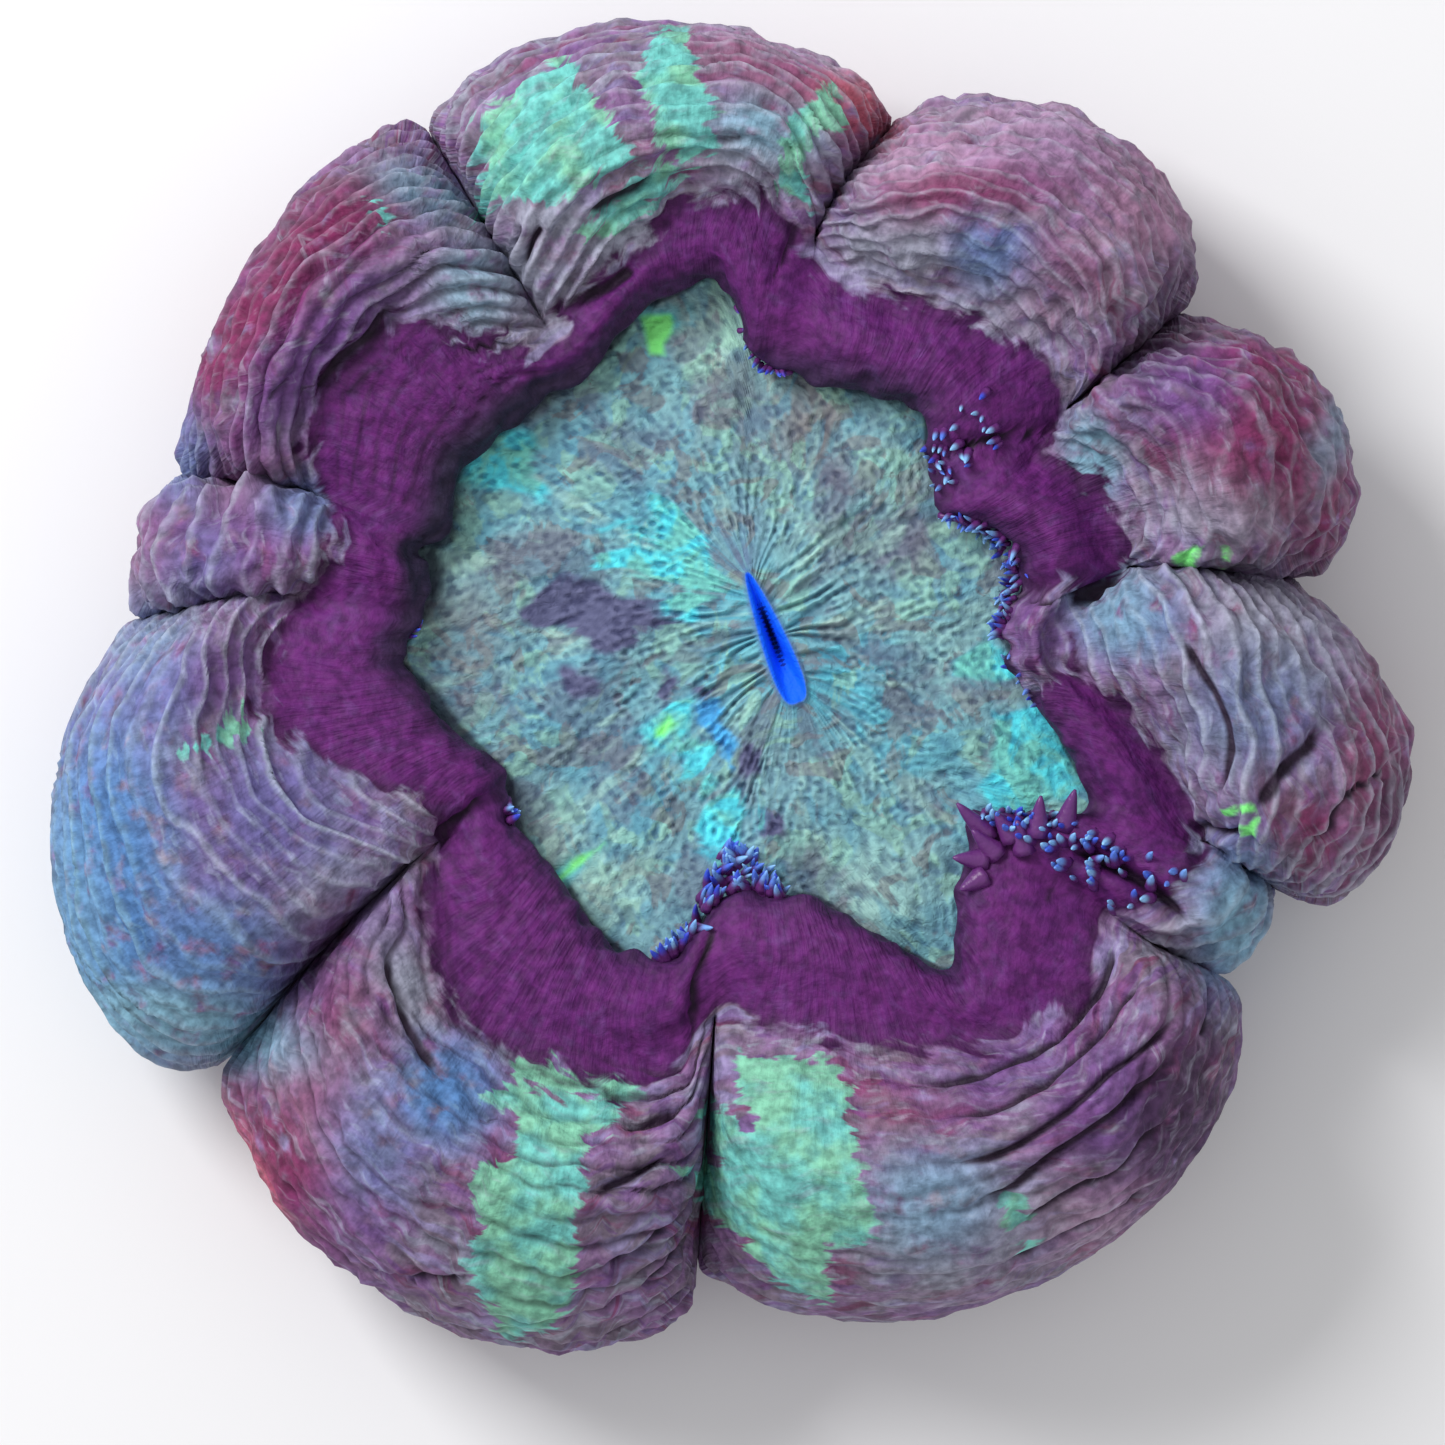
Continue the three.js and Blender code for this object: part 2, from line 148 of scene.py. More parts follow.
# Sides where the lip's inner wall lies in its own shade: middle angle, half width, strength
SHELTERS = [(150, 38, 1), (66, 16, 0.6)]

# Mouth: a slit, wider at one end
MOUTH_CENTRE = np.array([2.9, 1.1])
MOUTH_ANGLE = -68.6
MOUTH_HALF_LENGTH = 5.9
MOUTH_HALF_WIDTH = 0.8
MOUTH_TAPER = 0.7
MOUTH_BLUNTNESS = 0.5
MOUTH_DEPTH = 4

# Dark line in the mouth, painted shade of its opening: radians of its cross bars to a millimetre, and how far
# they stand out
THROAT_BARS = 15.0
THROAT_BAR_REACH = 0.16

# Markings with clear edges, as outlines in plan
MINT_PATCHES = [
    [(-16.2, 52.4), (-14.8, 52.6), (-14.4, 50.4), (-12.7, 48.1), (-11.2, 46.5), (-10, 44.2), (-9.4, 43.1),
     (-12.1, 41.8), (-14.5, 40.9), (-17.5, 39.4), (-19.8, 40.2), (-21.8, 40.1), (-22.8, 38), (-23.8, 38.2),
     (-23, 42.3), (-23.9, 45.4), (-23.2, 47.2), (-20.5, 49.1), (-18, 51.3)],
    [(-6.8, 55.7), (-4.6, 55.3), (-4.3, 52.6), (-3.7, 50.8), (-2.5, 49), (-2.5, 46.5), (-2.1, 45.4),
     (-2.7, 43.8), (-4.3, 43), (-6.5, 43.9), (-7.5, 45.9), (-7.6, 47.9), (-8.5, 49.5), (-9.4, 51.3)],
    [(-6.5, 43.6), (-4.5, 43.2), (-7.6, 39.8), (-10.3, 37.3), (-13.3, 36), (-14.1, 36.9), (-11.5, 39.2),
     (-9, 41.9)],
    [(7.5, 50.1), (9, 47.2), (9.4, 46), (6.5, 46.5), (5.9, 44.7), (5.5, 42.9), (6.1, 39.1), (5.1, 39.2),
     (3.4, 40.9), (3.9, 43.6), (3.6, 45.1), (4.4, 46.9), (5.9, 48.3)],
    [(-33.1, 39.7), (-32.2, 40), (-31.3, 38.2), (-31.4, 37.3), (-31.9, 38.7)],
    [(-21.1, -38.3), (-16.6, -39.5), (-10.7, -40), (-10.7, -42.2), (-13.2, -42.8), (-14.6, -46.1),
     (-13.3, -47), (-15.1, -50.2), (-14.4, -52.6), (-14.8, -57.4), (-16.6, -60.7), (-21.4, -61.5),
     (-22.3, -58.6), (-24.4, -54.7), (-23.5, -52.9), (-22.9, -49.9), (-23.7, -47.5), (-22.8, -45.4),
     (-20, -44.8), (-20, -40.4), (-22.6, -39.8)],
    [(-19.9, -36.2), (-17.8, -35.9), (-14.8, -38), (-7.1, -38.3), (-10.7, -39.8), (-16.6, -39.5),
     (-20.2, -38.2)],
    [(-14.8, -31.9), (-14.5, -33.3), (-15.1, -35.5), (-17.6, -36), (-16.9, -34.2)],
    [(-0.1, -35.7), (2.8, -36.1), (6.1, -36.4), (8.8, -37.1), (9.8, -39.1), (9.4, -41.1), (10.4, -43.7),
     (10.3, -45.7), (12.1, -52.1), (10.8, -52.9), (7.7, -52.7), (7.5, -54.4), (8.1, -56.4), (7.9, -58.5),
     (2.8, -56.7), (-0.5, -52.1), (-3.2, -50.4), (-5.2, -46.1), (-0.5, -46.4), (-2.2, -45.1), (-3.9, -42.4),
     (-3.1, -40.4), (-1.2, -41.1), (0.8, -42.8), (1.4, -41.8), (-0.5, -39.1), (-1.1, -37.1)],
    [(23.4, -48.8), (24.8, -48.1), (25.1, -49.8), (25.7, -50.8), (24.8, -51.4), (23.2, -50.4)],
    [(25.7, -52.1), (26.5, -52.5), (25.4, -53.5), (24.6, -54.1)],
    [(-44.5, -5), (-43.3, -7.4), (-46.3, -8.5), (-49.9, -9.2), (-48.1, -8.3), (-46.3, -6.9), (-44.5, -6.5)],
]
CLEFT_LIGHTS = [
    [(42.7, -14.2), (45.2, -13.6), (45.5, -14.4), (43, -14.8)],
    [(44.2, -15.4), (45.8, -15.1), (45.5, -17), (44.5, -16.9)],
    [(38.5, 8.1), (39.8, 9.1), (41.3, 9.1), (40.7, 8.1), (39.1, 7.5)],
    [(42.4, 8.5), (43.4, 9.1), (43, 7.7)],
]
CYAN_PATCHES = [
    [(-26, 17.4), (-22, 19), (-19.2, 18.8), (-18.2, 16.6), (-15.6, 14.2), (-18, 13), (-21, 13.8),
     (-25.6, 14.6)],
    [(-7.1, 13.4), (-5.1, 13.4), (-4.9, 11.6), (-2.3, 8.1), (-1.6, 5.8), (-3.6, 4.5), (-4.1, 1.8),
     (-6.1, 4.3), (-6.1, 5.6), (-8.2, 5.6), (-10.2, 6.3), (-13.4, 7.2), (-13, 8.5),
     (-11.4, 9.6), (-9.8, 10.6), (-6.4, 10.9)],
    [(22.9, -5.9), (27.3, -5.7), (28.4, -7.1), (30.1, -10.1), (30.9, -12), (29.7, -13.2), (27.3, -13.8),
     (22.9, -13.8), (21.7, -12.2), (22.7, -10.8), (22.4, -8.8)],
    [(20.2, -1.6), (22.4, 0.5), (23.4, -0.6), (24.1, -2.3), (22.9, -3.1), (21, -2.8)],
    [(-3.3, -13.9), (-1.3, -12.9), (1.2, -14.1), (0.4, -18.7), (-2.1, -19.1), (-3.9, -17.2)],
    [(-5.9, -3.5), (-4.4, -4.5), (-5.7, -7.1), (-8.2, -8.6), (-8.7, -7.2), (-6.9, -6)],
    [(-4.3, -8.5), (-2.6, -9.1), (-2.3, -11.9), (-3.3, -13.4), (-4.1, -11.2)],
]
LIME_PATCHES = [
    [(-9.1, 29.9), (-6.3, 30), (-6.2, 28.5), (-6.7, 27.3), (-6.6, 26.2), (-8.4, 26.3), (-8.6, 28.2)],
    [(-6.4, -6.1), (-5.9, -6.6), (-6.8, -7.7), (-7.6, -7.8), (-7.6, -7.2)],
    [(-16.3, -20.6), (-12.6, -17.9), (-12.2, -17.3), (-14.5, -18.6)],
]
DISC_BLUES = [
    [(-4.4, -5), (-2.1, -4.5), (-1.6, -6.6), (-0.5, -8.4), (-0.8, -10.6), (-1.6, -9.1), (-3.3, -6.6)],
]
UMBER_WEDGES = [
    [(-19.3, 3.3), (-18.3, 4.5), (-15.2, 6.6), (-13.2, 6.6), (-10.2, 5), (-6.4, 4.5), (-4.9, 2.5),
     (-8.2, 1.3), (-11.7, 0.3), (-14.2, 0.7), (-15.8, 2.2)],
    [(-6.9, -1), (-5.7, -1.8), (-2.6, -3.5), (-3.3, -4.5), (-5.1, -3.5), (-6.4, -5.6), (-8.2, -4.5)],
    [(-0.1, -7.8), (1.4, -8.4), (1.7, -10.9), (0.4, -11.1), (-0.4, -9.6)],
    [(1.4, -14.4), (4, -14.7), (4.2, -17.2), (1.7, -16.9)],
    [(-15.8, -2), (-13.9, -2.8), (-13, -3.5), (-14.8, -3.8)],
]
TAUPE_SPOTS = [
    [(12.5, -1.2), (15.5, 0.4), (17.6, -1.2), (17.3, -5.2), (15.2, -6.8), (12.6, -4.4)],
    [(14.2, 9.6), (16.4, 10.6), (18, 7.1), (15.4, 5), (13, 7.4)],
    [(7.4, 15.6), (10.3, 16.4), (11.6, 13.6), (8.5, 12)],
    [(-12, 20.5), (-9.5, 22), (-7.5, 19), (-9, 16), (-12.5, 17)],
    [(-2, 24), (0.5, 25.5), (1.5, 21), (-1, 19.5)],
    [(4, -19.5), (7, -18), (9, -20), (6.5, -22)],
]

# Places where the mantle's own flesh breaks into the smooth band, as outlines in plan
BAND_BREAKS = [
    [(-28, 31.5), (-16.2, 31), (-15.6, 27.9), (-19, 27), (-22.5, 27.6), (-26.5, 28.4)],
    [(-15, 37.6), (-7.5, 39.4), (-7.9, 36.3), (-13.5, 34)],
    [(22, 4.5), (30.2, 5.6), (31.2, 2.7), (29.4, -1.2), (26.1, -3), (23.2, 0)],
    [(28.8, 20.5), (31.2, 20.5), (33, 15.3), (31, 14.2), (29.2, 17.1)],
]

# Soft tints of the mantle by colour, laid over one another in this order: middle, half lengths, turn of the
# first of them, strength
Tint = namedtuple("Tint", "middle halves turn strength")
TINTS = {
    "grey": [
        Tint((-21.6, 32.9), (8, 5), 0, 0.9), Tint((13.5, 36), (6, 3.5), 0, 0.8),
        Tint((24.3, 30.6), (7, 4), 0, 0.6), Tint((-43.2, 13.5), (6, 3), 0, 0.7),
        Tint((47, 1), (11, 6.5), 0, 0.7), Tint((44, -8), (5, 6), 0, 0.4),
        Tint((19.8, -50.9), (8, 7), 0, 0.7), Tint((-30.3, -28.5), (8, 2.2), -63, 0.9),
        Tint((-48.6, -0.9), (7, 3), 0, 0.35), Tint((-48.6, -32.4), (9, 3), 0, 0.6),
        Tint((53.1, 22.5), (2, 7), 0, 0.5), Tint((43.2, -25), (3.5, 6), 0, 0.7),
        Tint((33.5, 4.5), (4, 3.5), 40, 0.7), Tint((1.8, 43.7), (5, 4), 0, 0.7),
        Tint((4, 47), (5, 4), 0, 0.8), Tint((-33, 29.5), (9, 2.2), 42, 0.5),
        Tint((-39, 21.5), (7, 2), 50, 0.6), Tint((42, 12), (7, 3), 0, 0.8),
        Tint((41, 13.5), (3, 4), 0, 0.7), Tint((-16.2, 37.8), (6, 3), -20, 0.85),
        # The spot at (-37, -22), on the slope into a cleft, is partly painted light that lifts the cleft's
        # shade
        Tint((-11, 37), (6, 2.5), 30, 0.9), Tint((-37, -22), (6, 3), 32, 0.75),
    ],
    "rose": [
        Tint((36, 40), (7, 8), 0, 0.7), Tint((27.9, 45), (10, 5), 0, 0.8),
        Tint((16.2, 43.5), (7, 3.5), 10, 0.8), Tint((-38, -38.5), (4, 9), 0, 0.5),
        Tint((57, -12), (4, 8), 0, 0.6), Tint((-53, 9), (3, 5), 0, 0.4),
        Tint((38.5, 28), (6, 1.6), 12, 0.6), Tint((10, 50), (9, 3.5), -20, 0.7),
        Tint((1.8, 53), (7, 3), -10, 0.7), Tint((32.4, -49.5), (6, 4), 30, 0.6),
    ],
    "crimson": [
        Tint((-43.5, 28.3), (13, 4.8), 48, 1), Tint((-36.9, 36.9), (9, 4.5), 35, 0.9),
        Tint((-44.1, 15.3), (5, 7), 0, 0.5), Tint((46.5, 20), (9.5, 9), 0, 0.85),
        Tint((51.3, 15), (3.6, 8), 0, 1), Tint((45, 25.5), (7, 3), -10, 0.9),
        Tint((20, 40.3), (10, 2.6), 6, 0.75), Tint((28.8, 32.4), (6, 5), 0, 0.4),
        Tint((35.1, 40.5), (5, 8), 0, 0.3), Tint((-37.8, -33.3), (5, 10), 0, 0.9),
        Tint((-40.6, -46.5), (10, 4), -67, 0.9), Tint((5.4, 50.4), (11, 2.5), -20, 0.7),
        Tint((-51.8, 9.5), (4, 6), 0, 0.5), Tint((57, -10.5), (4, 9), 0, 0.75),
        Tint((51, -16), (6, 3.5), -30, 0.6), Tint((14.9, -40.5), (7, 4), 0, 0.4),
        Tint((36.9, -36.9), (5, 6), 0, 0.3),
    ],
    "violet": [
        Tint((39.3, 23), (5, 4.5), 30, 0.85), Tint((-37, 26), (12, 4.5), 47, 0.9),
        Tint((-47.5, -2.5), (8, 4), 20, 0.8), Tint((33, -40), (7, 8), 40, 0.8),
        Tint((24, -36.5), (7, 3), 25, 0.75), Tint((-46, 9.5), (7, 5), 0, 0.7),
        Tint((-33, -24), (5, 4), 0, 0.5), Tint((-12, -37), (6, 2.5), 0, 0.5),
        Tint((-35, -52), (6, 5), 0, 0.4), Tint((28, 44), (6, 4), 0, 0.3),
        Tint((-43, -16), (8, 6), 30, 0.8), Tint((27, 1.5), (4, 4), 0, 0.7),
    ],
    # Painted shade on flanks turned from the light
    "plum_shade": [
        Tint((39.6, -41), (4.5, 9.5), -12, 0.8), Tint((58.5, -15), (2.5, 6), -20, 0.7),
        Tint((45.5, -5), (7, 6), 0, 0.28), Tint((38.5, 30.5), (3, 7), -25, 0.6),
        Tint((-51, -51), (3, 8), 25, 0.5),
    ],
    # The spots along the left edge are partly painted blue rim light from the left, partly the flesh's own
    # blue
    "blue": [
        Tint((-56.7, -22.5), (8, 20), 0, 1), Tint((-50.4, -27.9), (12, 8), 0, 0.8),
        Tint((-53.1, -6), (5, 11), 0, 0.45), Tint((-26.1, -39.2), (5, 5), 0, 0.9),
        Tint((-32, -43.2), (5, 7), 0, 0.4), Tint((34.7, 2.3), (5, 4), 0, 0.55),
        Tint((45.5, -5), (7, 6), 0, 0.35), Tint((44.1, -23.4), (4, 8), 0, 0.6),
        Tint((-41, -14), (9, 9), 0, 0.3), Tint((-48.6, 8.1), (4, 4), 0, 0.25),
        Tint((-38.7, 12.6), (4, 3), 0, 0.5), Tint((17.6, -48.6), (5, 5), 0, 0.4),
        Tint((-50.4, 18), (3, 6), 0, 0.5), Tint((22, 35.1), (3.5, 3.5), 0, 0.6),
    ],
    "aqua": [
        Tint((-50, -33.5), (12, 3.5), -12, 1), Tint((-59, -24), (3, 12), 12, 0.35),
        Tint((-53, 2), (5, 4), 30, 0.3), Tint((44.5, -24.5), (3.5, 5), 0, 0.8),
        Tint((33.5, 3.5), (3.5, 4), 0, 0.6), Tint((2, 46), (5, 2.5), -10, 0.8),
        Tint((-28.5, 41), (5, 2.5), -20, 0.6), Tint((-24, 32), (3, 4), 0, 0.6),
        Tint((15.5, -49), (6, 5), 0, 0.5), Tint((53, 19), (1.6, 7), -20, 0.5),
        Tint((31.3, 17.3), (2.5, 4), 20, 0.9),
    ],
    "rust": [
        Tint((10.5, 48.5), (4, 3), -30, 0.7), Tint((-43, -49), (9, 1.6), -67, 0.6),
    ],
}

# Soft tints of the oral disc, in the same form
DISC_TINTS = {
    "disc_earth": [
        Tint((17, 9), (6, 5), 0, 0.6), Tint((7, 20), (5, 5), 0, 1), Tint((-1, 22), (3.5, 6), 0, 0.5),
        Tint((-25.5, 1.5), (5, 6), 0, 0.7), Tint((5.5, -8), (3, 3), 0, 0.6),
        Tint((-18, 24), (6, 4), 30, 0.5), Tint((-20, -13), (5, 4), 0, 0.4),
    ],
    "disc_pale": [
        # The spot at (-3.6, 29), at the disc's top tip beside the lip, is painted light that lifts the lip's
        # shade there
        Tint((-3.6, 29), (6, 6), 0, 1), Tint((14.4, 17), (5, 4), 0, 0.55),
        Tint((11, -21), (7, 5), -20, 0.7), Tint((18, -1), (5, 5), 0, 0.5),
        Tint((20, 4.5), (4, 4), 0, 0.4), Tint((6, 9.5), (4, 3), 0, 0.4),
    ],
    "disc_glow": [
        Tint((-3.5, 6), (10, 6), -40, 0.85), Tint((9.5, -3.5), (9, 6), -30, 0.85),
        Tint((15, -9), (8, 5), -20, 0.6), Tint((-10, -9), (7, 5), 30, 0.6),
        Tint((-3.5, -1), (4, 5), 0, 0.75), Tint((-24, 14), (6, 4), 0, 0.4),
    ],
    "violet": [Tint((0.3, 8.2), (1.5, 2), 0, 0.5), Tint((-0.6, 10.2), (3, 3), 0, 0.3)],
}

# Ripples, which are seeded noise: size, wave length, seed, number of waves
Ripple = namedtuple("Ripple", "size wave_length seed waves", defaults=[18])

# Ridges of the lobes, measured in ridge spacings: how they wander, half widths of raised lines and of grooves
# with the level that evens each out, shares of the profile over which they start and end
RIDGE_WANDER = [Ripple(0.32, 17, 3), Ripple(0.09, 5, 4)]
RIDGE_LINE, RIDGE_LINE_LEVEL = 0.17, 0.3
RIDGE_GROOVE, RIDGE_GROOVE_LEVEL = 0.13, 0.25
RIDGE_STARTS, RIDGE_STOPS = 0.06, 0.12
RIDGE_SIDES = 10

# How each ridge swells along its way: its mean, its ripple over a place that is apart for every ridge and
# lobe, and its least and most
SWELL_MEAN = 0.85
SWELL_RIPPLE = Ripple(0.35, 3, 5)
SWELL_APART = (7.3, 13.7, 1.4)
SWELL_LIMITS = (0.4, 1.4)

# Creases drawn in the mantle, cut in and darkened with painted shade: path in plan, half width, depth
Crease = namedtuple("Crease", "path width depth")
CREASES = [
    Crease([(27.7, -20.1), (27.9, -23.8), (27.3, -26.1), (26.5, -27.2)], 0.5, 0.9),
    Crease([(33.3, -23.8), (32.6, -28.1), (31, -31.4), (28.4, -34.1), (23.8, -36.7), (19.1, -38.2),
            (10, -38)], 0.55, 1),
    Crease([(37.1, -27.5), (34.1, -31), (31.4, -34.1), (28.1, -37.1), (24.8, -39.4), (21.4, -40.6),
            (14, -41.2)], 0.58, 1.15),
    Crease([(39.4, -31.2), (37.1, -34.4), (32.8, -37.1), (28.8, -40.8), (24.8, -43.7), (21.8, -45.1),
            (16, -45.9)], 0.58, 1.15),
    Crease([(40, -35.4), (36.4, -38.4), (32.4, -41.8), (28.1, -44.7), (24.4, -47.7), (19, -50.2)],
           0.58, 1.15),
    Crease([(39.4, -41), (36.1, -43.7), (33.4, -46.7), (30.4, -47.5), (27.7, -49.4), (23, -52.4)], 0.58, 1.1),
    Crease([(37.8, -47), (34.4, -50), (30.4, -51.4), (26.1, -53.8), (22, -56)], 0.58, 1.1),
    Crease([(41.8, -29), (42, -32), (41.4, -35)], 0.6, 1.2),
    Crease([(-5.3, -40.9), (-8, -41.9), (-10.7, -42.5)], 0.6, 1.2),
    Crease([(-5.6, -45.2), (-7.7, -45.8), (-10.7, -47.2), (-12.8, -48)], 0.7, 1.6),
    Crease([(-5.3, -50.2), (-7.4, -52.3), (-9.4, -54.1), (-11.9, -55.8)], 0.8, 1.8),
    Crease([(-4.1, -52.3), (-6.2, -54.7), (-8.6, -56.8), (-11.9, -58.6)], 0.6, 1.4),
    Crease([(-31.3, -26.4), (-30.7, -30), (-28.7, -34.4), (-26.1, -38.2)], 0.56, 1),
    Crease([(-34.3, -55.6), (-29.2, -56.2), (-23.2, -55.9)], 0.6, 1),
    Crease([(-23.2, -41.6), (-20.5, -40.9)], 0.5, 0.7),
    Crease([(38.2, 1.9), (39.8, -0.8), (42.1, -4.4), (43.2, -8), (43, -11.2), (42.1, -13.4)], 0.56, 1),
    Crease([(40.6, -15.4), (42.4, -16.6), (44.2, -16.4)], 0.9, 2),
    Crease([(51.6, -6.2), (50.9, -8.3), (48.7, -10.3), (46.6, -12.8), (45.1, -14.6)], 0.85, 1.1),
    Crease([(58.6, -8), (57.4, -11), (55.3, -12.2), (53.2, -13.9), (52, -16.4), (49.6, -17.4)], 0.56, 1),
    Crease([(-30.1, 31.7), (-33.5, 27.4), (-36.2, 24.8), (-37.9, 20.9)], 0.6, 1.4),
    Crease([(-26.6, 26.6), (-30.5, 24.2), (-33.8, 21.1)], 0.55, 1.2),
    Crease([(-30.8, 26), (-33.2, 24.2), (-35.3, 21.8)], 0.5, 1),
    Crease([(-19.4, 27.2), (-22.9, 27), (-26.3, 26.3)], 0.5, 0.9),
    Crease([(-39.4, 24.5), (-42.1, 21.8)], 0.5, 0.7),
    Crease([(-6.7, 42.4), (-10.3, 40), (-13.9, 38.2)], 0.5, 1),
    Crease([(-9.1, 34.4), (-12.1, 32.2), (-16.3, 30.1)], 0.6, 1.3),
    Crease([(-2.5, 44.8), (0.4, 44.8)], 0.5, 0.7),
    Crease([(-21.1, 33.7), (-20.3, 36), (-19.5, 37.8)], 0.5, 1.2),
    Crease([(-19.6, 33.7), (-18.7, 36), (-17.3, 37.3)], 0.5, 1),
    Crease([(17.6, 17.4), (23.4, 18.9), (28.8, 19.8)], 0.55, 1.2),
    Crease([(24.3, 4.7), (29.7, 4.5), (34.7, 7)], 0.5, 1),
    Crease([(5.4, 38.3), (4.1, 35.1), (2.3, 32.4)], 0.5, 0.7),
    Crease([(-29, -18.5), (-25.5, -15.5), (-21.8, -12.8)], 0.6, 1.4),
    Crease([(-4.3, -34.5), (-3.6, -29), (-2.5, -23.5)], 0.6, 1.2),
    Crease([(28.8, -17.6), (32.4, -18.9), (36.9, -21.6), (40.5, -25.2)], 0.8, 1.6),
]

CREASE_PIECES = 4  # straight pieces for each point of a path
CREASE_TAPER = 0.2  # share of a path over which it fades at an end
CREASE_END = 0.1  # level of the very ends

# Tentacle clusters: angles and profile stations that each covers, how many, length, root radius, paleness of
# tip, lean from upright towards the middle, and how far onto the disc the cluster spreads
Cluster = namedtuple("Cluster", "angles stations count length radius pale lean inset")
CLUSTERS = [
    Cluster((38, 48), (2.2, 4.2), 30, 1.2, 0.4, 1, 37, 0),
    Cluster((3, 34), (1.6, 2.6), 70, 1.4, 0.36, 0.8, 45, 1.5),
    Cluster((349, 360), (1.6, 2.6), 8, 1.2, 0.34, 0.7, 37, 0),
    Cluster((325.5, 333), (2.2, 5), 80, 1.7, 0.5, 1, 25, 0),
    Cluster((255, 280), (1.7, 2.4), 90, 1.9, 0.5, 0.85, 40, 4.5),
    Cluster((213, 217), (1.6, 2.4), 5, 1.3, 0.4, 0.9, 37, 0),
    Cluster((175, 178), (1.6, 2.2), 3, 1, 0.3, 0.8, 37, 0),
    Cluster((80, 91), (1.6, 2.2), 12, 1, 0.3, 0.6, 37, 0.8),
]

# Purple spikes of the crown at the lip's tongue: root and tip in plan
SPIKES = [
    ((21.9, -16.3), (19.3, -13.7)), ((23.9, -16.3), (22.6, -14.4)), ((26.6, -16), (26.8, -13.1)),
    ((29, -15.4), (29.8, -12.5)), ((21.2, -18.7), (18.9, -18.5)), ((21.2, -20.5), (19.6, -21.4)),
    ((25.2, -17.5), (24.6, -15.2)), ((22.5, -17.8), (20.6, -16)),
]


def srgb(red, green, blue):
    """A linear colour from 8-bit screen values."""
    share = np.array([red, green, blue]) / 255
    return tuple(np.where(share <= 0.04045, share / 12.92, ((share + 0.055) / 1.055) ** 2.4).tolist())


def length(name, description, millimetres):
    """A length property, stored in metres."""
    return FloatProperty(name=name, description=description, default=millimetres * MM, min=0, unit="LENGTH")


def colour(name, description, red, green, blue):
    """A colour property, with its default given in 8-bit screen values."""
    return FloatVectorProperty(
        name=name, description=description, subtype="COLOR", size=3, min=0, max=1,
        default=srgb(red, green, blue),
    )


class PolypForm(bpy.types.PropertyGroup):
    """Sizes of the polyp that a user would change."""

    disc_height: length("Disc height", "Height of the oral disc's edge above the base", 19)
    disc_mound: length("Disc mound", "How far the disc rises from its edge to the mouth", 1.6)
    lip_rise: length("Lip rise", "Top of the lip above the disc edge, on a lobe", 6.2)
    cleft_lip_rise: length("Cleft lip rise", "Top of the lip above the disc edge, at a cleft", 4.6)
    reach_height: length("Reach height", "Height at which a lobe reaches furthest out", 13)
    cleft_floor: length("Cleft floor", "Height of the bottom of a cleft at its outer end", 8)
    underside_height: length("Underside height", "Height at which the underside turns in to the base", 4)
    papilla_height: length("Papilla height", "Height of the grains on the oral disc", 0.1)
    furrow_depth: length("Furrow depth", "Depth of the furrows that run from the mouth", 0.3)
    crumple_height: length("Crumple height", "Height of the uneven swellings of the mantle", 0.28)
    ridge_share: FloatProperty(
        name="Ridge share", description="Depth of the mantle's ridges against their usual depth", default=1,
        min=0, subtype="FACTOR", soft_max=2,
    )


